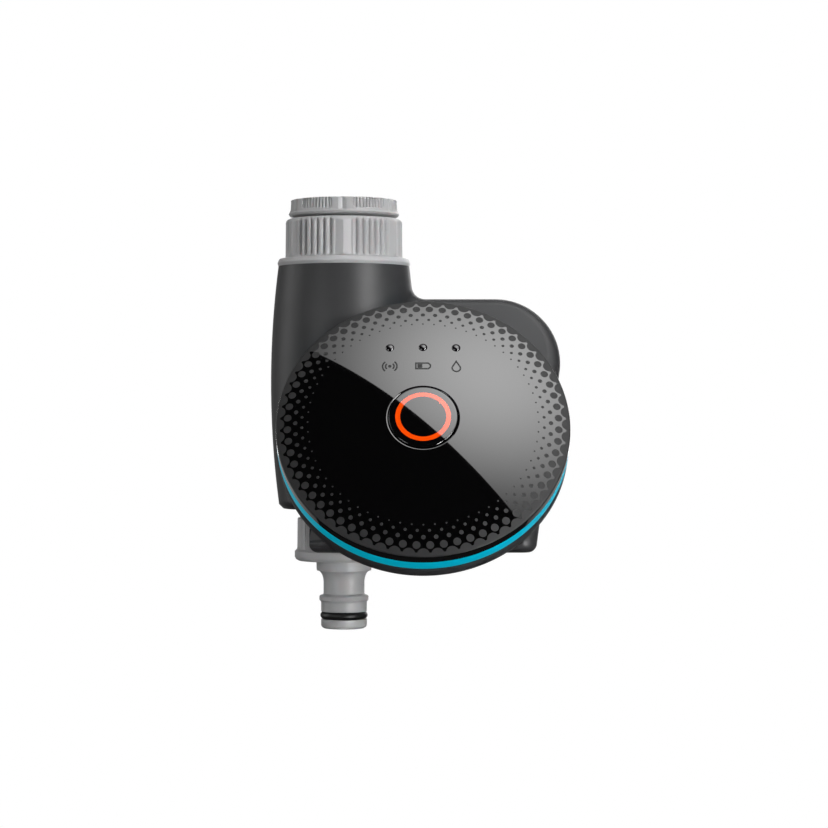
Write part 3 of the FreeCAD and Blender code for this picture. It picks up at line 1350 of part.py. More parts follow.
def tray_plate(name, shrink, foot, head):
    """A flat piece of the tray's base, drawn in all round by the shrink."""
    edge = f"({BAY_HALF} - cell_play - {shrink})"
    return span_block(name,
                      (f"cell_x - {edge}", f"{BAY_FRONT} + cell_play + {shrink}", foot),
                      (f"cell_x + {edge}", f"{BAY_BACK} - cell_play - {shrink}", head))


def battery_tray():
    """Base that closes the box's foot, with its seal, and two end walls with contacts."""
    base = tray_plate("tray_base_plate", "0", "-box_bottom", "-box_bottom + tray_base")
    seal_foot = "-box_bottom + (tray_base - tray_seal_height) / 2"
    seal_head = f"{seal_foot} + tray_seal_height"
    seal = cut("tray_seal_ring", tray_plate("tray_seal_outer", "0", seal_foot, seal_head),
               [tray_plate("tray_seal_inner", "tray_seal_width", "-box_bottom", "0")])
    sub_part(seal, "tray_seal")
    solid = joined("tray_solid", [base, end_wall("tray_left", -1), end_wall("tray_right", 1)])
    sub_part(cut("tray", solid, [seal]), "battery_tray")

    cells = []
    contacts = []
    springs = []
    for index, (depth, height) in enumerate(CELL_PLACES):
        # The cells lie head to tail: the middle one points the other way
        flipped = index == 1
        can = cylinder(f"cell_can_{index}", "cell_radius", "cell_length - cell_cap_length")
        cap = place(cylinder(f"cell_cap_{index}", "cell_cap_radius", "cell_cap_length"),
                    z="cell_length - cell_cap_length")
        cell = joined(f"cell_{index}", [can, cap])
        if flipped:
            place(cell, f"{CELL_RIGHT} - contact_spring_length", depth, height,
                  (0, 1, 0), "-90")
        else:
            place(cell, f"{CELL_LEFT} + contact_spring_length", depth, height, (0, 1, 0), "90")
        cells.append(cell)
        for name, low in (("left", f"{CELL_LEFT} - contact_thickness"), ("right", CELL_RIGHT)):
            sheet_metal = span_block(
                f"contact_{name}_{index}",
                (low, f"{depth} - contact_side / 2", f"{height} - contact_side / 2"),
                (f"{low} + contact_thickness", f"{depth} + contact_side / 2",
                 f"{height} + contact_side / 2"))
            contacts.append(sheet_metal)
        coil = spring(f"contact_spring_{index}", "contact_spring_radius",
                      "contact_wire_radius", "contact_spring_length - 2 * fit_play", 2)
        if flipped:
            place(coil, f"{CELL_RIGHT} - fit_play - contact_wire_radius", depth, height,
                  (0, 1, 0), "-90")
        else:
            place(coil, f"{CELL_LEFT} + fit_play + contact_wire_radius", depth, height,
                  (0, 1, 0), "90")
        springs.append(coil)
    sub_part(group("cell_set", cells), "battery_cells")
    sub_part(group("contact_set", contacts), "battery_contacts")
    sub_part(group("contact_spring_set", springs), "contact_springs")


def outlet_connector():
    """The hose connector with its grip, hub, neck, stop collar, O-ring groove and tip."""
    thread = "outlet_thread_radius + outlet_thread_play"
    step = "(hub_radius - neck_radius)"
    recess = f"{thread} - seal_step"
    body = turned("outlet_connector", [
        (thread, CONNECTOR_TOP),
        (thread, f"{OUTLET_END} - seat_gap"),
        (recess, f"{OUTLET_END} - seat_gap"),
        (recess, CONNECTOR_LEDGE),
        ("nipple_bore", CONNECTOR_LEDGE),
        ("nipple_bore", NIPPLE_END),
        ("nipple_radius", NIPPLE_END),
        ("nipple_radius", O_RING_FOOT),
        ("nipple_radius - o_ring_groove_depth", O_RING_FOOT),
        ("nipple_radius - o_ring_groove_depth", O_RING_TOP),
        ("nipple_radius", O_RING_TOP),
        ("nipple_radius", NIPPLE_TOP),
        ("stop_radius", STOP_FOOT),
        ("stop_radius", STOP_TOP),
        ("neck_radius", NECK_FOOT),
        ("neck_radius", NECK_TOP),
        ("hub_radius", HUB_FOOT),
        ("hub_radius", FLANGE_FOOT),
        ("connector_flange_radius", FLANGE_FOOT),
        ("connector_flange_radius", FLANGE_TOP),
        ("connector_radius", FLANGE_TOP),
        ("connector_radius", CONNECTOR_TOP),
    ], {15: (f"({step}^2 + taper_height^2) / (2 * {step})", -1)})
    soften(body, "rim_round", either(
        rim("connector_radius", CONNECTOR_TOP),
        rim("connector_flange_radius", FLANGE_FOOT),
        rim("nipple_radius", NIPPLE_END)))
    grooved(body, "connector_radius", FLANGE_TOP, "connector_grip - ring_rim",
            "connector_groove_count", "connector_groove_width", "connector_groove_depth")
    return sub_part(body, "outlet_connector")


def outlet_o_ring():
    """The black ring in the nipple's groove."""
    foot = f"{O_RING_FOOT} + o_ring_play / 2"
    top = f"{O_RING_TOP} - o_ring_play / 2"
    inner = "nipple_radius - o_ring_groove_depth + fit_play / 2"
    outer = "nipple_radius + o_ring_stand"
    body = turned("outlet_o_ring", [(inner, foot), (outer, foot), (outer, top), (inner, top)])
    soften(body, "o_ring_groove * 0.31", either(rim(outer, foot), rim(outer, top)))
    return sub_part(body, "outlet_o_ring")


tap_adapter()
flat_seal("adapter_seal", f"{SEAL_RECESS} - seal_play", "water_radius + seal_play", SEAL_LEDGE)
flat_seal("inlet_washer", "tube_flange_radius", "filter_recess_radius + seal_play", WASHER_FOOT)
union_nut()
inlet_collar()
inlet_filter()
valve_body()
diaphragm()
diaphragm_plate()
x_spring("diaphragm_spring", "valve_spring_radius", f"{PLATE_FACE} + plate_thickness",
         f"{PILOT_SEAT} - bonnet_roof - ({PLATE_FACE} + plate_thickness) - fit_play", 5)
valve_bonnet()
bonnet_screws()
plunger_set()
solenoid()
housings()
head_shell()
face_screws("head_screws", HEAD_SCREWS, SHELL_FLOOR, "shell_floor + 2 * standoff_radius - 0.8")
colour_ring()
front_cover()
cover_seal()
button_set()
board_set()
face_screws("board_screws", BOARD_SCREWS, BOARD_TOP,
            f"({BOARD_TOP}) - ({SHELL_FLOOR})")
battery_bay()
battery_tray()
outlet_connector()
outlet_o_ring()
flat_seal("outlet_washer",
          "outlet_thread_radius + outlet_thread_play - seal_step - seal_play",
          "tube_radius - tube_wall + seal_play", OUTLET_WASHER_FOOT)
doc.recompute()

for item in doc.Objects:
    if {"Invalid", "Error"} & set(item.State):
        raise RuntimeError(f"{item.Label} failed: {item.State}")
for item in SUB_PARTS:
    if item.Shape.isNull() or not item.Shape.isValid():
        raise RuntimeError(f"{item.Label} has no valid shape")

os.makedirs("parts", exist_ok=True)
for item in SUB_PARTS:
    item.Shape.exportStep(f"parts/{item.Label}.step")
    print(item.Label, len(item.Shape.Solids), round(item.Shape.Volume, 1))
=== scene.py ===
import json
import math

import bpy
from mathutils import Euler, Matrix, Vector


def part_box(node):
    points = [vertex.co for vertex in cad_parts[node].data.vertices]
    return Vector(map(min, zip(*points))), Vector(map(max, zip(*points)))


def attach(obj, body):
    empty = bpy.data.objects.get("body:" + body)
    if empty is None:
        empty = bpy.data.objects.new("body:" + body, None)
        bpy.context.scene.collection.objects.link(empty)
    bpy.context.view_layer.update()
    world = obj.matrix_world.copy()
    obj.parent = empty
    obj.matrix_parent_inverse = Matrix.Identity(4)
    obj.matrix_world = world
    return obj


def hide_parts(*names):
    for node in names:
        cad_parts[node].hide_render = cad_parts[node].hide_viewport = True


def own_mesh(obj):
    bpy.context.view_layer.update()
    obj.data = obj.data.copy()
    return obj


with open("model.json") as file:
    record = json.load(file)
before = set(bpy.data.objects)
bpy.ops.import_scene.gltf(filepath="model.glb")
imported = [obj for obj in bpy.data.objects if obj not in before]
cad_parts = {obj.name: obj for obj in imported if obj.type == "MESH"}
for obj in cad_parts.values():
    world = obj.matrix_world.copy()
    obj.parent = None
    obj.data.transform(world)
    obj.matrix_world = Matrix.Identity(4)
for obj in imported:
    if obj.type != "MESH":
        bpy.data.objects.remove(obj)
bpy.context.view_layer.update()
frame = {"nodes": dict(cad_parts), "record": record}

# A watering controller that hangs from a garden tap. Lengths are in metres, in the frame's own
# axes: the water axis is Z, the head looks towards -Y and leans back.
MM = 0.001
FULL_TURN = 2 * math.pi

# Camera: level, in front of the object
CAMERA_PLACE = Vector((24.5, -845, -74.6)) * MM
CAMERA_LENS = 105

# Head: the middle of the cover's front edge, and how far its face leans back
HEAD_PLACE = Vector((27.5, -49, -78.3)) * MM
FACE_TILT = math.radians(30)
HEAD_TURN = Euler((math.pi / 2 - FACE_TILT, 0, 0))
COVER_RADIUS = 48.6 * MM
CROWN = 5.5 * MM
DOME_RADIUS = (COVER_RADIUS ** 2 + CROWN ** 2) / (2 * CROWN)

# Turned pieces
ROUND_STEPS = 192
BIG_RING_STEPS = 256

# Points nearer than this are merged: in a piece's mesh, in a copy of a node, and at a pole
WELD = 0.002 * MM
NODE_WELD = 0.001 * MM
POLE_WELD = 0.01 * MM


def low(node):
    """The lowest corner of a node at rest."""
    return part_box(node)[0]


def high(node):
    """The highest corner of a node at rest."""
    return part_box(node)[1]


# Modelling helpers

def start():
    """Leave edit mode and deselect all, before something new is made."""
    if bpy.context.object and bpy.context.object.mode != "OBJECT":
        bpy.ops.object.mode_set(mode="OBJECT")
    bpy.ops.object.select_all(action="DESELECT")


def alone(piece):
    """Select one piece and make it active."""
    start()
    piece.select_set(True)
    bpy.context.view_layer.objects.active = piece
    return piece


def closed(piece):
    """Merge doubles and point all faces outwards."""
    alone(piece)
    bpy.ops.object.mode_set(mode="EDIT")
    bpy.ops.mesh.select_all(action="SELECT")
    bpy.ops.mesh.remove_doubles(threshold=WELD)
    bpy.ops.mesh.normals_make_consistent(inside=False)
    bpy.ops.object.mode_set(mode="OBJECT")
    return piece


def smooth(piece, angle=35):
    """Shade smooth, with edges sharper than the angle left sharp."""
    alone(piece)
    bpy.ops.object.shade_smooth_by_angle(angle=math.radians(angle))
    return piece


def rounded(corners, steps=5):
    """Points of an outline in millimetres; a corner with a third number gets that radius."""
    points = []
    count = len(corners)
    for index, corner in enumerate(corners):
        here = Vector(corner[:2])
        if len(corner) < 3:
            points.append(here)
            continue
        radius = corner[2]
        before = (Vector(corners[index - 1][:2]) - here).normalized()
        after = (Vector(corners[(index + 1) % count][:2]) - here).normalized()
        half = before.angle(after) / 2
        centre = here + (before + after).normalized() * radius / math.sin(half)
        first = here + before * radius / math.tan(half) - centre
        sweep = first.angle_signed(here + after * radius / math.tan(half) - centre)
        for step in range(steps + 1):
            turn = -sweep * step / steps
            cos, sin = math.cos(turn), math.sin(turn)
            points.append(centre + Vector((first.x * cos - first.y * sin,
                                           first.x * sin + first.y * cos)))
    return points


def turned(name, outline, steps=ROUND_STEPS, ring=True):
    """A piece turned about Z: a circle is extruded and resized along (radius, height) points."""
    points = list(outline) + ([outline[0]] if ring else [])
    start()
    radius, height = points[0]
    bpy.ops.mesh.primitive_circle_add(vertices=steps, radius=radius * MM,
                                      location=(0, 0, height * MM))
    piece = bpy.context.object
    piece.name = piece.data.name = name
    bpy.ops.object.transform_apply(location=True, rotation=True, scale=True)
    bpy.ops.object.mode_set(mode="EDIT")
    bpy.ops.mesh.select_all(action="SELECT")
    for across, up in points[1:]:
        bpy.ops.mesh.extrude_region_move(
            TRANSFORM_OT_translate={"value": (0, 0, (up - height) * MM)})
        scale = across / radius
        bpy.ops.transform.resize(value=(scale, scale, 1), center_override=(0, 0, up * MM))
        radius, height = across, up
    if not ring:
        bpy.ops.mesh.remove_doubles(threshold=POLE_WELD)
    bpy.ops.object.mode_set(mode="OBJECT")
    return closed(piece)


def gripped(name, levels, depth_at, steps):
    """A turned ring whose wall is cut in by depth_at(angle, height), in degrees and millimetres.

    Each level is (radius, height) and only those with a third, true value are cut in.
    """
    piece = turned(name, [level[:2] for level in levels], steps)
    walls = {tuple(round(size, 3) for size in level[:2]) for level in levels if len(level) > 2}
    for vertex in piece.data.vertices:
        spot = vertex.co
        radius = math.hypot(spot.x, spot.y)
        height = spot.z / MM
        if (round(radius / MM, 3), round(height, 3)) in walls:
            angle = math.degrees(math.atan2(spot.x, -spot.y))
            scale = 1 - depth_at(angle, height) * MM / radius
            spot.x *= scale
            spot.y *= scale
    return piece


def joined(name, pieces):
    """Several pieces made one object."""
    start()
    for piece in pieces:
        piece.select_set(True)
    bpy.context.view_layer.objects.active = pieces[0]
    if len(pieces) > 1:
        bpy.ops.object.join()
    whole = bpy.context.object
    whole.name = whole.data.name = name
    return whole


def moved(piece, place, turn=Euler((0, 0, 0))):
    """Turn and move a piece, with its place put into its mesh."""
    alone(piece)
    piece.rotation_euler = turn
    piece.location = place
    bpy.ops.object.transform_apply(location=True, rotation=True, scale=True)
    return piece


def on_head(piece, x=0.0, y=0.0, rise=0.0):
    """Move a piece from the origin's plane to a spot of the tilted face, in metres."""
    return moved(piece, HEAD_PLACE + HEAD_TURN.to_matrix() @ Vector((x, y, rise)), HEAD_TURN)


def dome_height(reach):
    """How high the cover's crown stands at a distance from its middle, in metres."""
    return math.sqrt(DOME_RADIUS ** 2 - reach ** 2) - DOME_RADIUS + CROWN


def on_dome(piece, x, y, rise=0.0):
    """Lay a small flat piece on the cover's crown, square to the surface."""
    lean = Euler((-math.asin(y / DOME_RADIUS), math.asin(x / DOME_RADIUS), 0))
    moved(piece, (0, 0, 0), lean)
    return on_head(piece, x, y, dome_height(math.hypot(x, y)) + rise)


def smooth_copy(name, node):
    """A merged, smooth-shaded copy of a node's solid."""
    mesh = frame["nodes"][node].data.copy()
    mesh.materials.clear()
    piece = bpy.data.objects.new(name, mesh)
    bpy.context.scene.collection.objects.link(piece)
    alone(piece)
    bpy.ops.object.mode_set(mode="EDIT")
    bpy.ops.mesh.select_all(action="SELECT")
    bpy.ops.mesh.remove_doubles(threshold=NODE_WELD)
    bpy.ops.object.mode_set(mode="OBJECT")
    smooth(piece, 32)
    flat_faces = piece.modifiers.new("flat_faces", "WEIGHTED_NORMAL")
    flat_faces.keep_sharp = True
    flat_faces.weight = 100
    bpy.ops.object.modifier_apply(modifier=flat_faces.name)
    return piece


def settle(piece, body, finish, nodes=()):
    """Give a piece its finish, its body and the nodes that it stands for."""
    piece.data.materials.clear()
    piece.data.materials.append(finish)
    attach(piece, body)
    if nodes:
        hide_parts(*nodes)
    return piece


# Finishes

class Finish:
    """A node material on one Principled shader, with helpers for its patterns."""

    def __init__(self, name, colour, roughness, **sockets):
        self.material = bpy.data.materials.new(name)
        self.material.use_nodes = True
        self.nodes = self.material.node_tree.nodes
        self.links = self.material.node_tree.links
        self.shader = self.nodes["Principled BSDF"]
        self.shader.inputs["Base Color"].default_value = (*colour, 1)
        self.shader.inputs["Roughness"].default_value = roughness
        for socket, value in sockets.items():
            self.shader.inputs[socket.replace("_", " ")].default_value = value
        self.place = self.nodes.new("ShaderNodeTexCoord").outputs["Object"]

    def link(self, source, target):
        self.links.new(source, target)

    def calc(self, operation, *values):
        """The output of a math node."""
        node = self.nodes.new("ShaderNodeMath")
        node.operation = operation
        for socket, value in zip(node.inputs, values):
            if isinstance(value, (int, float)):
                socket.default_value = value
            else:
                self.link(value, socket)
        return node.outputs[0]

    def length(self, across, up):
        """How long the vector of two values is."""
        squares = (self.calc("MULTIPLY", across, across), self.calc("MULTIPLY", up, up))
        return self.calc("SQRT", self.calc("ADD", *squares))

    def noise(self, size, detail=2.0, place=None):
        """Noise whose grains are about this many metres across."""
        node = self.nodes.new("ShaderNodeTexNoise")
        node.inputs["Scale"].default_value = 1 / size
        node.inputs["Detail"].default_value = detail
        self.link(place or self.place, node.inputs["Vector"])
        return node.outputs["Fac"]

    def span(self, value, low_in, high_in, low_out, high_out, smoothly=False):
        """A value mapped from one span to another."""
        node = self.nodes.new("ShaderNodeMapRange")
        node.interpolation_type = "SMOOTHSTEP" if smoothly else "LINEAR"
        self.link(value, node.inputs["Value"])
        spans = (("From Min", low_in), ("From Max", high_in), ("To Min", low_out),
                 ("To Max", high_out))
        for socket, number in spans:
            node.inputs[socket].default_value = number
        return node.outputs["Result"]

    def mix(self, share, first, second):
        """A colour between two, each a colour or an output."""
        node = self.nodes.new("ShaderNodeMix")
        node.data_type = "RGBA"
        self.link(share, node.inputs["Factor"])
        for socket, colour in (("A", first), ("B", second)):
            slot = [item for item in node.inputs
                    if item.name == socket and item.type == "RGBA"][0]
            if isinstance(colour, tuple):
                slot.default_value = (*colour, 1)
            else:
                self.link(colour, slot)
        return [item for item in node.outputs if item.type == "RGBA"][0]

    def grain(self, size, height, detail=2.0):
        """A fine relief."""
        bump = self.nodes.new("ShaderNodeBump")
        bump.inputs["Distance"].default_value = height
        bump.inputs["Strength"].default_value = 1.0
        self.link(self.noise(size, detail), bump.inputs["Height"])
        self.link(bump.outputs["Normal"], self.shader.inputs["Normal"])
        return self

    def tint(self, colour, spread, size):
        """The colour varies a little, in patches of this size."""
        darker = tuple(part * (1 - spread) for part in colour)
        lighter = tuple(min(1.0, part * (1 + spread)) for part in colour)
        self.link(self.mix(self.noise(size, 3.0), darker, lighter),
                  self.shader.inputs["Base Color"])
        return self

    def sheen_patches(self, low_roughness, high_roughness, size):
        """The roughness varies between two values."""
        self.link(self.span(self.noise(size, 3.0), 0.3, 0.7, low_roughness, high_roughness),
                  self.shader.inputs["Roughness"])
        return self


def moulded(name, colour, roughness, grain=0.00035, height=0.000006, **sockets):
    """Injection-moulded plastic with a spark-eroded grain."""
    finish = Finish(name, colour, roughness, **sockets)
    finish.grain(grain, height)
    finish.tint(colour, 0.05, 0.02)
    finish.sheen_patches(roughness - 0.03, roughness + 0.03, 0.012)
    return finish.material


def smooth_rubber(name, colour):
    """Moulded rubber with a soft bloom."""
    finish = Finish(name, colour, 0.4, Specular_IOR_Level=0.5)
    finish.grain(0.0004, 0.000004)
    finish.tint(colour, 0.15, 0.004)
    return finish.material


def metal(name, colour, roughness, stretch=(1, 1, 1)):
    """Bare metal with fine drawn lines along one axis."""
    finish = Finish(name, colour, roughness, Metallic=1.0)
    mapping = finish.nodes.new("ShaderNodeMapping")
    mapping.inputs["Scale"].default_value = stretch
    finish.link(finish.place, mapping.inputs["Vector"])
    lines = finish.noise(0.0003, 3.0, mapping.outputs["Vector"])
    finish.link(finish.span(lines, 0.2, 0.8, roughness - 0.08, roughness + 0.1),
                finish.shader.inputs["Roughness"])
    finish.tint(colour, 0.06, 0.003)
    return finish.material


# The cover's printed rows of dots: distance from the middle, dot radius, both in millimetres,
# and whether the row is shifted by half a pitch. The outer row merges into the printed rim.
DOTS_AROUND = 64
DOT_ROWS = [(47.8, 2.1, 0.0), (44.7, 1.28, 0.5), (42.1, 0.74, 0.0), (39.9, 0.52, 0.5),
            (38.0, 0.3, 0.0)]
PRINT_RIM = 47.15
PRINT_END = 48.5
PRINT_LOWEST = -0.5
PRINT_EDGE = 0.05
PRINT_ROUGHNESS = 0.5
GLOSS_BLACK = (0.0012, 0.0012, 0.0013)
GLOSS_ROUGHNESS = 0.03
PLASTIC_IOR = 1.5
COAT_IOR = 1.7
COAT_ROUGHNESS = 0.015
PRINT_GREY = (0.0115, 0.0115, 0.012)


def printed_cover():
    """Gloss black plastic with rows of matt printed dots that grow towards the edge."""
    finish = Finish("gloss_black_printed", GLOSS_BLACK, GLOSS_ROUGHNESS, IOR=PLASTIC_IOR,
                    Coat_Roughness=COAT_ROUGHNESS, Coat_IOR=COAT_IOR)
    local = finish.nodes.new("ShaderNodeMapping")
    local.vector_type = "TEXTURE"
    local.inputs["Location"].default_value = HEAD_PLACE
    local.inputs["Rotation"].default_value = HEAD_TURN
    local.inputs["Scale"].default_value = (MM, MM, MM)
    finish.link(finish.place, local.inputs["Vector"])
    split = finish.nodes.new("ShaderNodeSeparateXYZ")
    finish.link(local.outputs["Vector"], split.inputs["Vector"])
    across, up, out = split.outputs
    reach = finish.length(across, up)
    pitch = finish.calc("MULTIPLY", finish.calc("ARCTAN2", across, up), DOTS_AROUND / FULL_TURN)
    printed = finish.span(reach, PRINT_RIM - PRINT_EDGE, PRINT_RIM + PRINT_EDGE, 0, 1)
    for row, radius, shift in DOT_ROWS:
        share = finish.calc("FRACT", finish.calc("ADD", pitch, 0.5 + shift))
        share = finish.calc("SUBTRACT", share, 0.5)
        side = finish.calc("MULTIPLY", share, FULL_TURN * row / DOTS_AROUND)
        rise = finish.calc("SUBTRACT", reach, row)
        away = finish.length(side, rise)
        dot = finish.span(away, radius - PRINT_EDGE, radius + PRINT_EDGE, 1, 0)
        printed = finish.calc("MAXIMUM", printed, dot)
    # The print ends on the cover's rounded edge, above its side
    within = finish.span(reach, PRINT_END, PRINT_END + PRINT_EDGE, 1, 0)
    above = finish.span(out, PRINT_LOWEST, PRINT_LOWEST + PRINT_EDGE, 0, 1)
    printed = finish.calc("MULTIPLY", printed, finish.calc("MULTIPLY", within, above))
    finish.link(finish.mix(printed, GLOSS_BLACK, PRINT_GREY), finish.shader.inputs["Base Color"])
    finish.link(finish.span(printed, 0, 1, GLOSS_ROUGHNESS, PRINT_ROUGHNESS),
                finish.shader.inputs["Roughness"])
    finish.link(finish.span(printed, 0, 1, 1, 0), finish.shader.inputs["Coat Weight"])
    return finish.material


def gloss_plastic(name, colour, **sockets):
    """Polished plastic under a clear coat, with faint waviness from the mould."""
    finish = Finish(name, colour, GLOSS_ROUGHNESS, IOR=PLASTIC_IOR, Coat_Weight=1.0,
                    Coat_Roughness=COAT_ROUGHNESS, Coat_IOR=COAT_IOR, **sockets)
    finish.tint(colour, 0.1, 0.01)
    return finish.material


def circuit_green():
    """Solder mask with paler tracks and vias."""
    mask, copper = (0.015, 0.1, 0.045), (0.03, 0.19, 0.08)
    cell = 4 * MM
    finish = Finish("board_green", mask, 0.35)
    voronoi = finish.nodes.new("ShaderNodeTexVoronoi")
    voronoi.distance = "MANHATTAN"
    voronoi.feature = "DISTANCE_TO_EDGE"
    voronoi.inputs["Scale"].default_value = 1 / cell
    finish.link(finish.place, voronoi.inputs["Vector"])
    track = finish.span(voronoi.outputs["Distance"], 0.03, 0.06, 1, 0)
    finish.link(finish.mix(track, mask, copper), finish.shader.inputs["Base Color"])
    return finish.material


def wound_wire():
    """Enamelled copper wire, laid turn by turn along X."""
    copper = (0.6, 0.22, 0.07)
    wire_pitch = 2.5 * MM
    finish = Finish("copper_wire", copper, 0.3, Metallic=0.9)
    wave = finish.nodes.new("ShaderNodeTexWave")
    wave.bands_direction = "X"
    wave.wave_profile = "SIN"
    wave.inputs["Scale"].default_value = 1 / wire_pitch
    finish.link(finish.place, wave.inputs["Vector"])
    bump = finish.nodes.new("ShaderNodeBump")
    bump.inputs["Distance"].default_value = 0.1 * MM
    finish.link(wave.outputs["Fac"], bump.inputs["Height"])
    finish.link(bump.outputs["Normal"], finish.shader.inputs["Normal"])
    finish.tint(copper, 0.1, 0.004)
    return finish.material


def cell_jacket():
    """Shrink sleeve of a battery cell, dark with a copper-coloured end."""
    dark, coppery = (0.02, 0.022, 0.026), (0.5, 0.2, 0.06)
    coppery_length = 14 * MM
    finish = Finish("cell_jacket", dark, 0.3, Metallic=0.6)
    split = finish.nodes.new("ShaderNodeSeparateXYZ")
    finish.link(finish.place, split.inputs["Vector"])
    end = high("battery_cells").x - coppery_length
    band = finish.span(split.outputs["X"], end, end + 0.2 * MM, 0, 1)
    finish.link(finish.mix(band, dark, coppery), finish.shader.inputs["Base Color"])
    return finish.material


# Colours, and the finish of each of the record's slots

LIGHT_GREY = (0.42, 0.42, 0.425)
DARK_GREY = (0.034, 0.034, 0.0355)
PAINTED_GLOW_ORANGE = (0.7, 0.056, 0.001)
# The cyan and the orange also feed their plastics' emission, which is a painted glow
PAINTED_GLOW_CYAN = (0.0, 0.36, 0.5)
FINISHES = {
    "light_grey_plastic": moulded("light_grey_plastic", LIGHT_GREY, 0.42, Subsurface_Weight=0.05,
                                  Subsurface_Scale=0.002),
    "dark_grey_plastic": moulded("dark_grey_plastic", DARK_GREY, 0.46),
    "black_plastic": moulded("black_plastic", (0.012, 0.012, 0.013), 0.45),
    "gloss_black": gloss_plastic("gloss_black", GLOSS_BLACK),
    # The cyan ring's emission is a painted glow: the ring is no lamp.
    "cyan_plastic": moulded("cyan_plastic", PAINTED_GLOW_CYAN, 0.4, 0.0005, 0.000002,
                            Specular_IOR_Level=0.15, Emission_Color=(*PAINTED_GLOW_CYAN, 1),
                            Emission_Strength=0.42),
    # The orange ring's emission is a painted glow.
    "orange_plastic": gloss_plastic("orange_plastic", PAINTED_GLOW_ORANGE,
                                    Emission_Color=(*PAINTED_GLOW_ORANGE, 1), Emission_Strength=0.35),
    "smoked_plastic": gloss_plastic("smoked_plastic", (0.004, 0.004, 0.0045)),
    "clear_plastic": moulded("clear_plastic", (0.75, 0.75, 0.76), 0.2, IOR=1.49,
                             Transmission_Weight=0.5),
    "white_plastic": moulded("white_plastic", (0.7, 0.7, 0.68), 0.4),
    "black_rubber": smooth_rubber("black_rubber", (0.006, 0.006, 0.006)),
    "grey_rubber": smooth_rubber("grey_rubber", (0.1, 0.1, 0.1)),
    "board_green": circuit_green(),
    "steel": metal("steel", (0.55, 0.55, 0.56), 0.3, (1, 1, 8)),
    "spring_steel": metal("spring_steel", (0.6, 0.6, 0.6), 0.25, (6, 6, 1)),
    "magnet_nickel": metal("magnet_nickel", (0.6, 0.59, 0.56), 0.22),
    "copper_wire": wound_wire(),
    "contact_brass": metal("contact_brass", (0.72, 0.55, 0.28), 0.28, (1, 8, 8)),
    "cell_jacket": cell_jacket(),
}


def finish_nodes():
    """Give every node of the frame the finish of its slot."""
    for part in frame["record"]["subparts"]:
        node = frame["nodes"][part["node"]]
        node.data.materials.clear()
        node.data.materials.append(FINISHES[part["material_slot"]])
        for face in node.data.polygons:
            face.material_index = 0


# Head, in millimetres. The head's own height 0 is the cover's front edge.

BUTTON_HOLE = 12.1
BUTTON_RADIUS = 11.3
BUTTON_EDGE = 0.35
BUTTON_DEPTH = 6
BUTTON_RISE = 0.45
LIGHT_RING = (7.55, 9.15)
LIGHT_RING_DEPTH = 1.15
LIGHT_RING_PLAY = 0.05
SURROUND_WIDTH = 0.55
SURROUND_DEPTH = 4
COVER_SIDE = 3.8
COVER_WALL = 2.1
COVER_EDGE = 0.7
RING_FOOT = 8.4
RING_WALL = 3
POLE = 0.02


def dome_points(inner, outer, steps, rise=0.0):
    """Points of the crown from an inner to an outer reach, in millimetres."""
    points = []
    for step in range(steps + 1):
        reach = inner + (outer - inner) * step / steps
        points.append(Vector((reach, dome_height(reach * MM) / MM + rise)))
    return points


def cover():
    """The domed front cover, with its rounded edge and its glossy side."""
    outer = COVER_RADIUS / MM
    inner = outer - COVER_EDGE
    slope = math.asin(inner * MM / DOME_RADIUS)
    centre = Vector((inner, dome_height(inner * MM) / MM - COVER_EDGE))
    crown = dome_points(BUTTON_HOLE, inner, 48)
    rim = [centre + COVER_EDGE * Vector((math.sin(turn), math.cos(turn)))
           for turn in (slope + (math.pi / 2 - slope) * step / 8 for step in range(9))]
    under = dome_points(BUTTON_HOLE, outer - COVER_WALL, 12, -COVER_WALL)
    outline = crown + rim[1:]
    outline += rounded([(outer, -COVER_SIDE), (outer - COVER_WALL, -COVER_SIDE)])
    outline += list(reversed(under))
    piece = on_head(turned("cover", outline, BIG_RING_STEPS))
    return settle(smooth(piece, 40), "housing", printed_cover(), ["front_cover"])


def button_surround():
    """The rounded lip between the cover and the button."""
    crown = dome_height(BUTTON_HOLE * MM) / MM
    outer = BUTTON_HOLE
    inner = BUTTON_HOLE - SURROUND_WIDTH
    foot = crown - SURROUND_DEPTH
    outline = rounded([(outer, foot), (outer, crown + 0.02), (inner, crown - 0.1, 0.42),
                       (inner, foot)], 10)
    piece = on_head(turned("button_surround", outline, BIG_RING_STEPS))
    return settle(smooth(piece, 60), "housing", FINISHES["gloss_black"],
                  ["button_bezel"])


def button():
    """The push button: a glossy crown with an orange ring set flush in it, whose glow is
    painted.
    """
    edge = dome_height(BUTTON_RADIUS * MM) / MM + BUTTON_RISE
    foot = edge - BUTTON_DEPTH
    inner, outer = LIGHT_RING
    groove = LIGHT_RING_DEPTH + LIGHT_RING_PLAY
    crown = dome_points(POLE, inner, 10, BUTTON_RISE)
    flank = dome_points(outer, BUTTON_RADIUS - BUTTON_EDGE, 6, BUTTON_RISE)
    body = crown + [(inner, crown[-1][1] - groove), (outer, flank[0][1] - groove)] + flank
    body += rounded([(BUTTON_RADIUS - BUTTON_EDGE, edge), (BUTTON_RADIUS, edge, 0.3),
                     (BUTTON_RADIUS, foot)], 6)[1:]
    body += [(POLE, foot)]
    piece = on_head(turned("button_cap", body, ring=False))
    settle(smooth(piece, 40), "button", FINISHES["gloss_black"], ["button"])
    # The orange ring glows by a painted emission.
    band = dome_points(inner, outer, 4, BUTTON_RISE)
    band += [(outer, band[-1][1] - LIGHT_RING_DEPTH), (inner, band[0][1] - LIGHT_RING_DEPTH)]
    ring = on_head(turned("button_painted_glow_ring", band))
    return settle(smooth(ring, 40), "button", FINISHES["orange_plastic"],
                  ["button_ring"])


LAMP_ROW = 27.8
LAMP_PITCH = 11.05
LAMP_RADIUS = 1.48
LAMP_FLATNESS = 0.5
LAMP_SUNK = 0.2


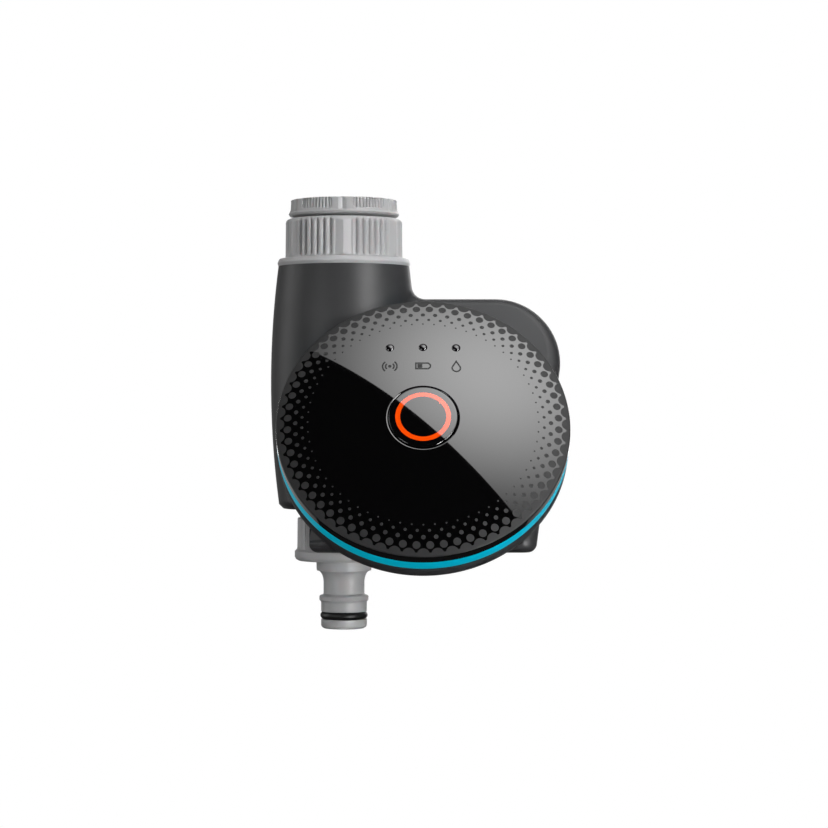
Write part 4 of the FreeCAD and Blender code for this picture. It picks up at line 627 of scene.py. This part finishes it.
def lamps():
    """Three smoked lens domes in a row above the button."""
    lenses = []
    for side in (-1, 0, 1):
        start()
        bpy.ops.mesh.primitive_uv_sphere_add(segments=40, ring_count=24,
                                             radius=LAMP_RADIUS * MM, location=(0, 0, 0))
        lens = bpy.context.object
        lens.scale = (1, 1, LAMP_FLATNESS)
        bpy.ops.object.transform_apply(location=True, rotation=True, scale=True)
        bpy.ops.object.mode_set(mode="EDIT")
        bpy.ops.mesh.select_all(action="SELECT")
        bpy.ops.mesh.bisect(plane_co=(0, 0, -LAMP_SUNK * MM), plane_no=(0, 0, 1),
                            use_fill=True, clear_inner=True)
        bpy.ops.object.mode_set(mode="OBJECT")
        lenses.append(on_dome(lens, side * LAMP_PITCH * MM, LAMP_ROW * MM))
    piece = joined("lamp_lenses", lenses)
    return settle(smooth(piece, 50), "housing", FINISHES["smoked_plastic"],
                  ["light_guides"])


def colour_band():
    """The coloured ring under the cover."""
    outer = COVER_RADIUS / MM
    inner = outer - RING_WALL
    outline = rounded([(inner, -COVER_SIDE), (outer, -COVER_SIDE, 0.15),
                       (outer, -RING_FOOT, 0.15), (inner, -RING_FOOT)], 3)
    piece = on_head(turned("colour_band", outline, BIG_RING_STEPS))
    return settle(smooth(piece, 40), "housing", FINISHES["cyan_plastic"],
                  ["colour_ring"])


# Pictograms: flat signs on the crown below the lamps, in millimetres

SIGN_ROW = 20.1
SIGN_THICK = 0.06
SIGN_RISE = 0.01
SIGN_LINE = 0.5


def outline_only(piece):
    """Keep an even line along the edge of a flat shape."""
    alone(piece)
    bpy.ops.object.mode_set(mode="EDIT")
    bpy.ops.mesh.select_all(action="SELECT")
    bpy.ops.mesh.inset(thickness=SIGN_LINE * MM)
    bpy.ops.mesh.delete(type="FACE")
    bpy.ops.object.mode_set(mode="OBJECT")
    return piece


def thick(piece):
    """Give a flat sign its thickness."""
    alone(piece)
    bpy.ops.object.mode_set(mode="EDIT")
    bpy.ops.mesh.select_all(action="SELECT")
    bpy.ops.mesh.normals_make_consistent(inside=False)
    bpy.ops.object.mode_set(mode="OBJECT")
    body = piece.modifiers.new("thickness", "SOLIDIFY")
    body.thickness = SIGN_THICK * MM
    body.offset = 0
    bpy.ops.object.modifier_apply(modifier=body.name)
    return closed(piece)


def disc(name, radius, steps=48):
    """A small flat disc in the sign's plane."""
    start()
    bpy.ops.mesh.primitive_circle_add(vertices=steps, radius=radius * MM, fill_type="NGON")
    piece = bpy.context.object
    piece.name = piece.data.name = name
    return piece


def plate(name, left, right, half_height):
    """A small flat oblong in the sign's plane."""
    start()
    bpy.ops.mesh.primitive_plane_add(size=1, location=((left + right) / 2 * MM, 0, 0))
    piece = bpy.context.object
    piece.name = piece.data.name = name
    piece.scale = ((right - left) * MM, 2 * half_height * MM, 1)
    bpy.ops.object.transform_apply(location=True, rotation=True, scale=True)
    return piece


def radio_sign():
    """A dot between two pairs of waves."""
    dot_radius, wave_radii = 0.55, (1.66, 2.66)
    half_wave = 48
    parts = [thick(disc("radio_dot", dot_radius))]
    for radius in wave_radii:
        wave = outline_only(disc("radio_wave", radius, 90))
        bpy.ops.object.mode_set(mode="EDIT")
        bpy.ops.mesh.select_mode(type="FACE")
        bpy.ops.mesh.select_all(action="DESELECT")
        bpy.ops.object.mode_set(mode="OBJECT")
        for face in wave.data.polygons:
            angle = math.degrees(math.atan2(face.center.y, abs(face.center.x)))
            face.select = abs(angle) > half_wave
        bpy.ops.object.mode_set(mode="EDIT")
        bpy.ops.mesh.delete(type="FACE")
        bpy.ops.object.mode_set(mode="OBJECT")
        parts.append(thick(wave))
    return parts


def battery_sign():
    """A battery with a narrowed end and its level."""
    left, right, half_height = -2.65, 2.7, 1.4
    corner = 0.85
    case = plate("battery_case", left, right, half_height)
    bpy.ops.object.mode_set(mode="EDIT")
    bpy.ops.mesh.select_mode(type="VERT")
    bpy.ops.mesh.select_all(action="DESELECT")
    bpy.ops.object.mode_set(mode="OBJECT")
    for vertex in case.data.vertices:
        vertex.select = vertex.co.x > 0
    bpy.ops.object.mode_set(mode="EDIT")
    bpy.ops.mesh.bevel(offset=corner * MM, affect="VERTICES")
    bpy.ops.object.mode_set(mode="OBJECT")
    return [thick(outline_only(case)), thick(plate("battery_level", -1.85, -0.2, 0.75))]


def drop_sign():
    """The outline of a drop of water: a disc whose upper part is drawn out to a tip."""
    radius = 1.63
    foot = -0.75
    tip = 3.3
    shape = disc("drop_outline", radius, 64)
    leave = math.asin(radius / tip)
    edge, shoulder = radius * math.cos(leave), radius * math.sin(leave)
    for vertex in shape.data.vertices:
        spot = vertex.co / MM
        angle = math.atan2(spot.y, abs(spot.x))
        if angle > leave:
            share = (angle - leave) / (math.pi / 2 - leave)
            vertex.co.x = math.copysign(edge * (1 - share), spot.x) * MM
            vertex.co.y = (shoulder + (tip - shoulder) * share) * MM
        vertex.co.y += foot * MM
    return [thick(outline_only(shape))]


def signs():
    """The three pictograms, one under each lamp."""
    parts = []
    for side, sign in ((-1, radio_sign), (0, battery_sign), (1, drop_sign)):
        for part in sign():
            parts.append(on_dome(part, side * LAMP_PITCH * MM, SIGN_ROW * MM, SIGN_RISE * MM))
    finish = Finish("sign_print", PRINT_GREY, 0.5)
    finish.grain(0.0002, 0.000002)
    piece = joined("printed_signs", parts)
    return settle(smooth(piece, 30), "housing", finish.material)


# Grips. Angles are in degrees from the front, lengths in millimetres. Six windows of ribs lie
# between six lugs; depths are measured inwards from the wall.

WINDOW_EVERY = 60


def window_offset(angle):
    """Degrees from the middle of the nearest window."""
    return (angle % WINDOW_EVERY) - WINDOW_EVERY / 2


def eased(value):
    """A smooth step from 0 to 1."""
    value = max(0.0, min(1.0, value))
    return value * value * (3 - 2 * value)


def valley(offset, pitch, roundness=0.6):
    """0 on a rib's round crest, 1 in the sharp valley between two ribs."""
    return 1 - abs(math.cos(math.pi * offset / pitch)) ** roundness


def window_share(offset, half_width, rise, radius, corner, slope):
    """How far inside a window with rounded lower corners a spot lies, from 0 to 1."""
    side = math.radians(half_width - abs(offset)) * radius
    if side < corner and rise < corner:
        inside = corner - math.hypot(corner - side, corner - rise)
    else:
        inside = min(side, rise)
    return eased(inside / slope)


def wall_levels(foot, top, radius_foot, radius_top, steps):
    """Levels of a grip's wall from its top to its foot, close together at both ends."""
    levels = []
    for step in range(steps + 1):
        share = 0.5 - 0.5 * math.cos(math.pi * step / steps)
        levels.append((radius_top + (radius_foot - radius_top) * share,
                       top + (foot - top) * share, True))
    return levels


RING_HEIGHT = 5.0
RING_RADIUS = 18.85
RING_WINDOW_FOOT = 1.05
RING_RIB_PITCH = 3.8
RING_RIBS = 10
RING_RIB_DEPTH = 0.75
RING_FLOOR = 0.3
RING_SLOPE = 0.3
RING_CORNER = 1.1
NOTCH_DEPTH = 0.6
NOTCH_HALF_WIDTH = 4.2


def ring_depth(angle, height):
    """Fine ribs in windows with rounded lower corners; a notch down the middle of each lug."""
    offset = window_offset(angle)
    foot = -RING_HEIGHT + RING_WINDOW_FOOT
    half_width = RING_RIB_PITCH * RING_RIBS / 2
    share = window_share(offset, half_width, height - foot, RING_RADIUS, RING_CORNER,
                         RING_SLOPE)
    ribs = RING_FLOOR + RING_RIB_DEPTH * valley(offset + RING_RIB_PITCH / 2,
                                                RING_RIB_PITCH, 0.8)
    at_top = 0.45 + 0.55 * eased(-height / 0.9)
    lug = WINDOW_EVERY / 2 - abs(offset)
    notch = NOTCH_DEPTH * max(0.0, 1 - lug / NOTCH_HALF_WIDTH)
    return share * ribs * at_top + notch * eased((height + RING_HEIGHT - 0.4) / 0.4)


# Threads: half widths at foot and crest in pitches, how deep the ridge is sunk into its wall, in
# millimetres, and the turns over which it rises from the wall at both ends
THREAD_STEPS = 48
THREAD_FOOT = 0.42
THREAD_CREST = 0.1
THREAD_SUNK = 0.15
THREAD_RUN_OUT = 1 / 6
THREAD_THINNEST = 0.05


def thread(name, root, crest, pitch, turns, foot):
    """A helical ridge on a wall, drawn in at both ends: a section is screwed up along Z."""
    inner = root - math.copysign(THREAD_SUNK, crest - root)
    start()
    bpy.ops.mesh.primitive_circle_add(vertices=4, radius=MM, rotation=(math.pi / 2, 0, 0))
    piece = bpy.context.object
    piece.name = piece.data.name = name
    bpy.ops.object.transform_apply(location=True, rotation=True, scale=True)
    section = [(inner, -THREAD_FOOT * pitch), (crest, -THREAD_CREST * pitch),
               (crest, THREAD_CREST * pitch), (inner, THREAD_FOOT * pitch)]
    for vertex, (radius, rise) in zip(piece.data.vertices, section):
        vertex.co = (radius * MM, 0, rise * MM)
    helix = piece.modifiers.new("helix", "SCREW")
    helix.steps = helix.render_steps = THREAD_STEPS
    helix.iterations = turns
    helix.screw_offset = pitch * MM
    helix.use_smooth_shade = False
    bpy.ops.object.modifier_apply(modifier=helix.name)
    # Sink the ridge into the wall at both ends, and lift it to its height
    for vertex in piece.data.vertices:
        spot = vertex.co
        turn = math.atan2(spot.y, spot.x) / FULL_TURN
        turn += round(spot.z / MM / pitch - turn)
        fade = eased(min(turn, turns - turn) / THREAD_RUN_OUT)
        radius = math.hypot(spot.x, spot.y)
        reach = (inner * MM + (radius - inner * MM) * fade) / radius
        rise = spot.z - turn * pitch * MM
        spot.x *= reach
        spot.y *= reach
        spot.z = (foot + turn * pitch) * MM + rise * max(fade, THREAD_THINNEST)
    alone(piece)
    bpy.ops.object.mode_set(mode="EDIT")
    bpy.ops.mesh.select_all(action="SELECT")
    bpy.ops.mesh.fill_holes(sides=4)
    bpy.ops.mesh.select_all(action="SELECT")
    bpy.ops.mesh.normals_make_consistent(inside=False)
    bpy.ops.object.mode_set(mode="OBJECT")
    return piece


TAP_THREAD_RADIUS = 13.3
TAP_THREAD_CREST = 12.25
TAP_THREAD_PITCH = 1.814
TAP_THREAD_FOOT = -9.0
SEAL_RADIUS = 13.0
SEAL_FOOT = -11.0
ADAPTER_WATERWAY = 9.6
SHANK_RADIUS = 15.75
SHANK_THREAD_CREST = 16.55
SHANK_THREAD_PITCH = 2.309
GRIP_STEPS = 1440


def adapter():
    """The tap adapter: a ribbed ring, a threaded shank and the tap's thread inside."""
    top = high("tap_adapter").z / MM
    foot = low("tap_adapter").z / MM
    bead = top - RING_HEIGHT
    levels = [(TAP_THREAD_RADIUS, top), (17.9, top), (18.4, top - 0.1)]
    levels += wall_levels(bead + 0.7, top - 0.3, 19.0, RING_RADIUS - 0.1, 14)
    levels += [(19.25, bead + 0.35), (19.3, bead), (18.9, bead - 0.6), (17.6, bead - 0.95),
               (16.3, bead - 1.3), (SHANK_RADIUS, bead - 1.5), (SHANK_RADIUS, foot + 0.5),
               (15.3, foot), (ADAPTER_WATERWAY, foot), (ADAPTER_WATERWAY, SEAL_FOOT),
               (SEAL_RADIUS, SEAL_FOOT), (SEAL_RADIUS, TAP_THREAD_FOOT),
               (TAP_THREAD_RADIUS, TAP_THREAD_FOOT), (TAP_THREAD_RADIUS, top - 1.0)]
    body = gripped("adapter_body", levels, ring_depth, GRIP_STEPS)
    tap_thread = thread("tap_thread", TAP_THREAD_RADIUS, TAP_THREAD_CREST, TAP_THREAD_PITCH,
                        turns=4, foot=TAP_THREAD_FOOT + 0.8)
    nut_thread = thread("shank_thread", SHANK_RADIUS, SHANK_THREAD_CREST, SHANK_THREAD_PITCH,
                        turns=2, foot=foot + 1.2)
    piece = joined("tap_adapter_ring", [body, tap_thread, nut_thread])
    return settle(smooth(piece, 38), "tap_adapter",
                  FINISHES["light_grey_plastic"], ["tap_adapter"])


NUT_TOP = high("union_nut").z / MM
NUT_FOOT = low("union_nut").z / MM
NUT_RADIUS = 20.55
NUT_FRONT_LUG = 1.0
NUT_RIB_PITCH = 6.8
NUT_RIBS = 5
NUT_RIB_DEPTH = 1.35
NUT_RIDGE = 0.5
NUT_FLOOR = 0.1
NUT_CREASE = 0.3
NUT_DRAFT = 0.15
NUT_SHOULDER = 1.6
NUT_THREAD_RADIUS = 16.85
NUT_LIP_RADIUS = 13.2
NUT_LIP_HEIGHT = 2.6
NUT_STEPS = 960


def nut_depth(angle, height):
    """Round ribs between lugs that have two facets, a ridge and a rounded edge."""
    offset = window_offset(angle - NUT_FRONT_LUG)
    window = NUT_RIB_PITCH * NUT_RIBS / 2
    lug_edge = WINDOW_EVERY / 2 - window
    lug_crest = lug_edge - 4
    crease = lug_crest - 1.2
    lug = WINDOW_EVERY / 2 - abs(offset)
    if abs(offset) < window:
        depth = NUT_FLOOR + NUT_RIB_DEPTH * valley(offset, NUT_RIB_PITCH)
    elif lug > lug_crest:
        depth = NUT_FLOOR + NUT_RIB_DEPTH * valley(lug - lug_crest, 2 * (lug_edge - lug_crest))
    elif lug > crease:
        share = (lug_crest - lug) / (lug_crest - crease)
        depth = NUT_FLOOR + (NUT_CREASE - NUT_FLOOR) * share
    else:
        depth = NUT_CREASE - (NUT_CREASE + NUT_RIDGE) * (1 - lug / crease)
    at_foot = eased((height - NUT_FOOT - 0.2) / 0.7)
    at_top = eased((NUT_TOP - 0.1 - height) / 2.2)
    return depth * at_foot * at_top


def nut():
    """The union nut, with its round ribs and its rounded shoulder."""
    top, foot = NUT_TOP, NUT_FOOT
    wall_top = NUT_RADIUS - NUT_DRAFT
    lip_top = foot + NUT_LIP_HEIGHT
    levels = [(NUT_THREAD_RADIUS, top), (wall_top - NUT_SHOULDER, top)]
    levels += [(wall_top + NUT_SHOULDER * (math.sin(turn) - 1),
                top + NUT_SHOULDER * (math.cos(turn) - 1), True)
               for turn in (math.pi / 2 * step / 8 for step in range(1, 8))]
    levels += wall_levels(foot + 0.15, top - NUT_SHOULDER, NUT_RADIUS, wall_top, 16)
    levels += [(NUT_RADIUS - 0.1, foot), (NUT_LIP_RADIUS, foot), (NUT_LIP_RADIUS, lip_top),
               (NUT_THREAD_RADIUS, lip_top)]
    piece = gripped("union_nut_grip", levels, nut_depth, NUT_STEPS)
    return settle(smooth(piece, 38), "union_nut",
                  FINISHES["light_grey_plastic"], ["union_nut"])


def collar():
    """The fixed ring between nut and barrel."""
    top = high("inlet_collar").z / MM
    foot = low("inlet_collar").z / MM
    bore = 13.0
    outline = rounded([(bore, foot), (22.85, foot), (23.25, foot + 1.1, 0.7),
                       (22.6, top, 0.6), (bore, top)], 6)
    piece = turned("barrel_collar", outline, BIG_RING_STEPS)
    return settle(smooth(piece, 50), "housing",
                  FINISHES["light_grey_plastic"], ["inlet_collar"])


CONNECTOR_TOP = high("outlet_connector").z / MM
CONNECTOR_FOOT = low("outlet_connector").z / MM
CONNECTOR_RADIUS = 16.4
CONNECTOR_FRONT_LUG = -7.0
CONNECTOR_RIB_PITCH = 3.8
CONNECTOR_RIBS = 9
CONNECTOR_RIB_DEPTH = 0.8
CONNECTOR_FLOOR = 0.35
CONNECTOR_SLOPE = 0.35
CONNECTOR_CORNER = 1.2
CONNECTOR_WINDOW_FOOT = -121.5
CONNECTOR_THREAD_RADIUS = 13.3
CONNECTOR_SEAL_RADIUS = 13.1
CONNECTOR_SEAL = (-123.6, -121.4)
FOLD_HEIGHT = 0.4
FOLD_PLACE = 4.0
FOLD_HALF_WIDTH = 3.5
NIPPLE_RADIUS = 8.0
NIPPLE_BORE = 5.0
GROOVE_RADIUS = 6.4
GROOVE = (-146.2, -143.5)


def connector_depth(angle, height):
    """Fine ribs in windows with rounded lower corners; two folds down each lug."""
    offset = window_offset(angle - CONNECTOR_FRONT_LUG)
    half_width = CONNECTOR_RIB_PITCH * CONNECTOR_RIBS / 2
    rise = height - CONNECTOR_WINDOW_FOOT
    share = window_share(offset, half_width, rise, CONNECTOR_RADIUS, CONNECTOR_CORNER,
                         CONNECTOR_SLOPE)
    ribs = CONNECTOR_FLOOR + CONNECTOR_RIB_DEPTH * valley(offset, CONNECTOR_RIB_PITCH)
    lug = WINDOW_EVERY / 2 - abs(offset)
    fold = FOLD_HEIGHT * max(0.0, 1 - abs(lug - FOLD_PLACE) / FOLD_HALF_WIDTH)
    return share * ribs * eased((CONNECTOR_TOP - height) / 0.9) - fold * eased(rise / 0.8)


def connector():
    """The hose connector, from its ribbed collar down to its nipple."""
    top, foot = CONNECTOR_TOP, CONNECTOR_FOOT
    seal_foot, seal_top = CONNECTOR_SEAL
    groove_foot, groove_top = GROOVE
    levels = [(CONNECTOR_THREAD_RADIUS, top), (15.5, top), (16.1, top - 0.25)]
    levels += wall_levels(CONNECTOR_WINDOW_FOOT - 0.2, top - 0.5, CONNECTOR_RADIUS + 0.05,
                          CONNECTOR_RADIUS - 0.05, 18)
    neck_radius, neck_top, narrowing, neck_height = 9.5, -129.2, 2.35, 4.1
    neck = [(neck_radius - narrowing * math.sin(turn),
             neck_top - neck_height * (1 - math.cos(turn)))
            for turn in (math.pi / 2 * step / 10 for step in range(11))]
    lower = [(16.7, -121.9), (17.2, -122.4), (17.2, -124.3), (16.8, -125.2), (15.9, -125.7),
             (9.75, -125.7), (9.65, -126.0), (9.6, -128.4)] + neck
    lower += [(7.15, -137.3), (7.5, -137.6), (8.35, -137.95), (8.6, -138.3), (8.6, -139.5),
              (8.35, -139.8), (8.05, -140.1), (NIPPLE_RADIUS, -140.5),
              (NIPPLE_RADIUS, groove_top), (GROOVE_RADIUS, groove_top),
              (GROOVE_RADIUS, groove_foot), (NIPPLE_RADIUS, groove_foot),
              (NIPPLE_RADIUS, foot + 1.0), (7.7, foot + 0.4), (7.1, foot), (NIPPLE_BORE, foot),
              (NIPPLE_BORE, seal_foot), (CONNECTOR_SEAL_RADIUS, seal_foot),
              (CONNECTOR_SEAL_RADIUS, seal_top), (CONNECTOR_THREAD_RADIUS, seal_top)]
    piece = gripped("hose_connector", levels + lower, connector_depth, GRIP_STEPS)
    return settle(smooth(piece, 38), "outlet_connector",
                  FINISHES["light_grey_plastic"], ["outlet_connector"])


def o_ring():
    """The rubber ring in the nipple's groove."""
    middle = (high("outlet_o_ring").z + low("outlet_o_ring").z) / 2
    ring_radius, thickness = 7.0 * MM, 1.28 * MM
    start()
    bpy.ops.mesh.primitive_torus_add(major_segments=128, minor_segments=32,
                                     major_radius=ring_radius, minor_radius=thickness,
                                     location=(0, 0, middle))
    piece = bpy.context.object
    piece.name = piece.data.name = "nipple_o_ring"
    bpy.ops.object.transform_apply(location=True, rotation=True, scale=True)
    return settle(smooth(piece, 80), "outlet_connector",
                  FINISHES["black_rubber"], ["outlet_o_ring"])


def housings():
    """Smooth-shaded shells: the two housings and the head's shell."""
    for name, node in (("housing_front", "front_housing"), ("housing_rear", "rear_housing"),
                       ("head_back_shell", "head_shell")):
        settle(smooth_copy(name, node), "housing",
               FINISHES["dark_grey_plastic"], [node])


def valve_springs():
    """The two springs in the valve, which shorten as plunger and diaphragm lift; here each is a
    smooth-shaded copy of its node at rest, with its own mesh.
    """
    plunger_travel, diaphragm_travel = 1.5 * MM, 3.0 * MM
    for name, node, joint, travel in (
            ("plunger_return_spring", "plunger_spring", "plunger_stroke", plunger_travel),
            ("diaphragm_return_spring", "diaphragm_spring", "diaphragm_lift",
             diaphragm_travel)):
        piece = smooth_copy(name, node)
        settle(piece, "housing", FINISHES["spring_steel"], [node])
        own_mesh(piece)


# Studio

# The backdrop's strengths, and the spans of direction over which they change
STUDIO_WHITE = 0.17
STUDIO_DARK = 0.005
STUDIO_BEHIND = 0.3
SWEEP_LEAN = -0.5
SWEEP_SPAN = (-0.1, 0.55)
BEHIND_SPAN = (0.6, 0.95)


def backdrop():
    """White for the camera. Matt surfaces see a dim sweep that is dark above the front, and
    gloss sees the pale backdrop only behind the object, as in a studio with black flags."""
    world = bpy.data.worlds.new("studio")
    bpy.context.scene.world = world
    world.use_nodes = True
    nodes, links = world.node_tree.nodes, world.node_tree.links
    nodes.clear()

    def mapped(value, spans):
        node = nodes.new("ShaderNodeMapRange")
        node.interpolation_type = "SMOOTHSTEP"
        links.new(value, node.inputs["Value"])
        for socket, number in zip(("From Min", "From Max", "To Min", "To Max"), spans):
            node.inputs[socket].default_value = number
        return node.outputs["Result"]

    def sheet(strength):
        node = nodes.new("ShaderNodeBackground")
        node.inputs["Color"].default_value = (1, 1, 1, 1)
        if isinstance(strength, float):
            node.inputs["Strength"].default_value = strength
        else:
            links.new(strength, node.inputs["Strength"])
        return node.outputs[0]

    def either(share, first, second):
        node = nodes.new("ShaderNodeMixShader")
        links.new(share, node.inputs["Fac"])
        links.new(first, node.inputs[1])
        links.new(second, node.inputs[2])
        return node.outputs[0]

    split = nodes.new("ShaderNodeSeparateXYZ")
    links.new(nodes.new("ShaderNodeTexCoord").outputs["Generated"], split.inputs["Vector"])
    lean = nodes.new("ShaderNodeMath")
    lean.operation = "MULTIPLY_ADD"
    links.new(split.outputs["Y"], lean.inputs[0])
    lean.inputs[1].default_value = SWEEP_LEAN
    links.new(split.outputs["Z"], lean.inputs[2])
    sweep = sheet(mapped(lean.outputs[0], (*SWEEP_SPAN, STUDIO_WHITE, STUDIO_DARK)))
    behind = sheet(mapped(split.outputs["Y"], (*BEHIND_SPAN, STUDIO_DARK, STUDIO_BEHIND)))
    seen = nodes.new("ShaderNodeLightPath").outputs
    glossy = nodes.new("ShaderNodeMath")
    glossy.operation = "MAXIMUM"
    links.new(seen["Is Glossy Ray"], glossy.inputs[0])
    links.new(seen["Is Transmission Ray"], glossy.inputs[1])
    surface = either(glossy.outputs[0], sweep, behind)
    surface = either(seen["Is Camera Ray"], surface, sheet(1.0))
    links.new(surface, nodes.new("ShaderNodeOutputWorld").inputs["Surface"])


# The floor: pale to the camera and dim to other rays, so that the lamps alone shape the object
FLOOR_PALE = (0.6, 0.6, 0.6)
FLOOR_DIM = (0.02, 0.02, 0.02)
FLOOR_DROP = 0.66
FLOOR_SIZE = 1.1
FLOOR_GLOW = (0.55, 1.0)
FLOOR_NEAR = 0.2


def floor():
    """A pale floor well below the object, which fades into the white backdrop."""
    start()
    bpy.ops.mesh.primitive_circle_add(vertices=128, radius=FLOOR_SIZE, fill_type="NGON",
                                      location=(0, 0, -FLOOR_DROP))
    sheet = bpy.context.object
    sheet.name = "floor"
    bpy.ops.object.transform_apply(location=True, rotation=True, scale=True)
    finish = Finish("floor_white", FLOOR_PALE, 0.9, Specular_IOR_Level=0.0)
    split = finish.nodes.new("ShaderNodeSeparateXYZ")
    finish.link(finish.place, split.inputs["Vector"])
    reach = finish.length(split.outputs["X"], split.outputs["Y"])
    glow = finish.span(reach, FLOOR_NEAR, FLOOR_SIZE * 0.95, *FLOOR_GLOW, smoothly=True)
    seen = finish.nodes.new("ShaderNodeLightPath").outputs["Is Camera Ray"]
    finish.shader.inputs["Emission Color"].default_value = (1, 1, 1, 1)
    finish.link(finish.calc("MULTIPLY", glow, seen), finish.shader.inputs["Emission Strength"])
    finish.link(finish.mix(seen, FLOOR_DIM, FLOOR_PALE), finish.shader.inputs["Base Color"])
    sheet.data.materials.append(finish.material)


# The overhead softbox: its lower-left edge is the straight line that the cover reflects
CARD_AWAY = 0.7
CARD_OUT = Vector((0.2755, -0.1821, 0.9439))
CARD_SIDE = Vector((0.6624, 0.7475, -0.0491))
CARD_NEAR_EDGE = -0.329
CARD_FAR_EDGE = 0.22
CARD_HALF_LENGTH = 0.6
CARD_HOT_SPOT = (0.04, -0.093)
CARD_SPREAD = 0.36
CARD_STRENGTH = 3.4


def overhead_softbox():
    """A glowing sheet above the head, brightest near its middle."""
    along = CARD_SIDE.cross(CARD_OUT).normalized()
    middle = HEAD_PLACE + HEAD_TURN.to_matrix() @ Vector((0, 0, CROWN)) + CARD_OUT * CARD_AWAY
    turn = Matrix((along, CARD_SIDE, along.cross(CARD_SIDE))).transposed().to_euler()
    start()
    bpy.ops.mesh.primitive_plane_add(size=1)
    card = bpy.context.object
    card.name = card.data.name = "overhead_softbox"
    card.scale = (2 * CARD_HALF_LENGTH, CARD_FAR_EDGE - CARD_NEAR_EDGE, 1)
    bpy.ops.object.transform_apply(location=True, rotation=True, scale=True)
    moved(card, middle + CARD_SIDE * (CARD_FAR_EDGE + CARD_NEAR_EDGE) / 2, turn)
    card.visible_camera = False
    finish = Finish("softbox_cloth", (0, 0, 0), 1.0, Specular_IOR_Level=0.0)
    hot = middle + along * CARD_HOT_SPOT[0] + CARD_SIDE * CARD_HOT_SPOT[1]
    gap = finish.nodes.new("ShaderNodeVectorMath")
    gap.operation = "DISTANCE"
    finish.link(finish.place, gap.inputs[0])
    gap.inputs[1].default_value = hot
    share = finish.calc("DIVIDE", gap.outputs["Value"], CARD_SPREAD)
    falling = finish.calc("MULTIPLY", finish.calc("MULTIPLY", share, share), -1)
    glow = finish.calc("EXPONENT", falling)
    finish.shader.inputs["Emission Color"].default_value = (1, 1, 1, 1)
    finish.link(finish.calc("MULTIPLY", glow, CARD_STRENGTH),
                finish.shader.inputs["Emission Strength"])
    card.data.materials.append(finish.material)


def softbox(name, place, size, power, aim=HEAD_PLACE, glossy=True, spread=math.pi):
    """A rectangular lamp that looks at the head, unless it is given another aim."""
    lamp = bpy.data.lights.new(name, "AREA")
    lamp.shape = "RECTANGLE"
    lamp.size, lamp.size_y = size
    lamp.energy = power
    lamp.spread = spread
    item = bpy.data.objects.new(name, lamp)
    item.location = place
    item.rotation_euler = (Vector(place) - aim).to_track_quat("Z", "Y").to_euler()
    item.visible_glossy = glossy
    bpy.context.scene.collection.objects.link(item)


CONNECTOR_PLACE = Vector((0, 0, -135)) * MM


def studio_lamps():
    """The lamps around the object: places and sizes in metres, power in watts."""
    softbox("key_softbox", (0.71, -0.78, 0.27), (0.35, 0.3), 5.6)
    softbox("low_right_softbox", (0.5, -0.65, -0.3), (0.2, 0.25), 0.12, CONNECTOR_PLACE,
            spread=math.radians(24))
    softbox("low_left_softbox", (-0.6, -0.8, -0.1), (0.25, 0.45), 1.6)
    softbox("left_softbox", (-0.95, 0.15, 0.1), (0.5, 0.9), 2.6)
    softbox("back_softbox", (0.15, 1.0, 0.25), (0.8, 0.8), 5)
    softbox("top_softbox", (0.1, 0.1, 0.9), (0.9, 0.6), 14, glossy=False)


def camera():
    """The camera of the photograph: level, a little right of the water axis."""
    lens = bpy.data.cameras.new("camera")
    lens.lens = CAMERA_LENS
    lens.sensor_width = 36
    lens.clip_start = 0.01
    item = bpy.data.objects.new("camera", lens)
    item.location = CAMERA_PLACE
    item.rotation_euler = (math.pi / 2, 0, 0)
    bpy.context.scene.collection.objects.link(item)
    bpy.context.scene.camera = item


camera()
backdrop()
floor()
overhead_softbox()
studio_lamps()
bpy.context.scene.view_settings.view_transform = "Standard"

finish_nodes()
cover()
button_surround()
button()
lamps()
colour_band()
signs()
adapter()
nut()
collar()
connector()
o_ring()
housings()
valve_springs()
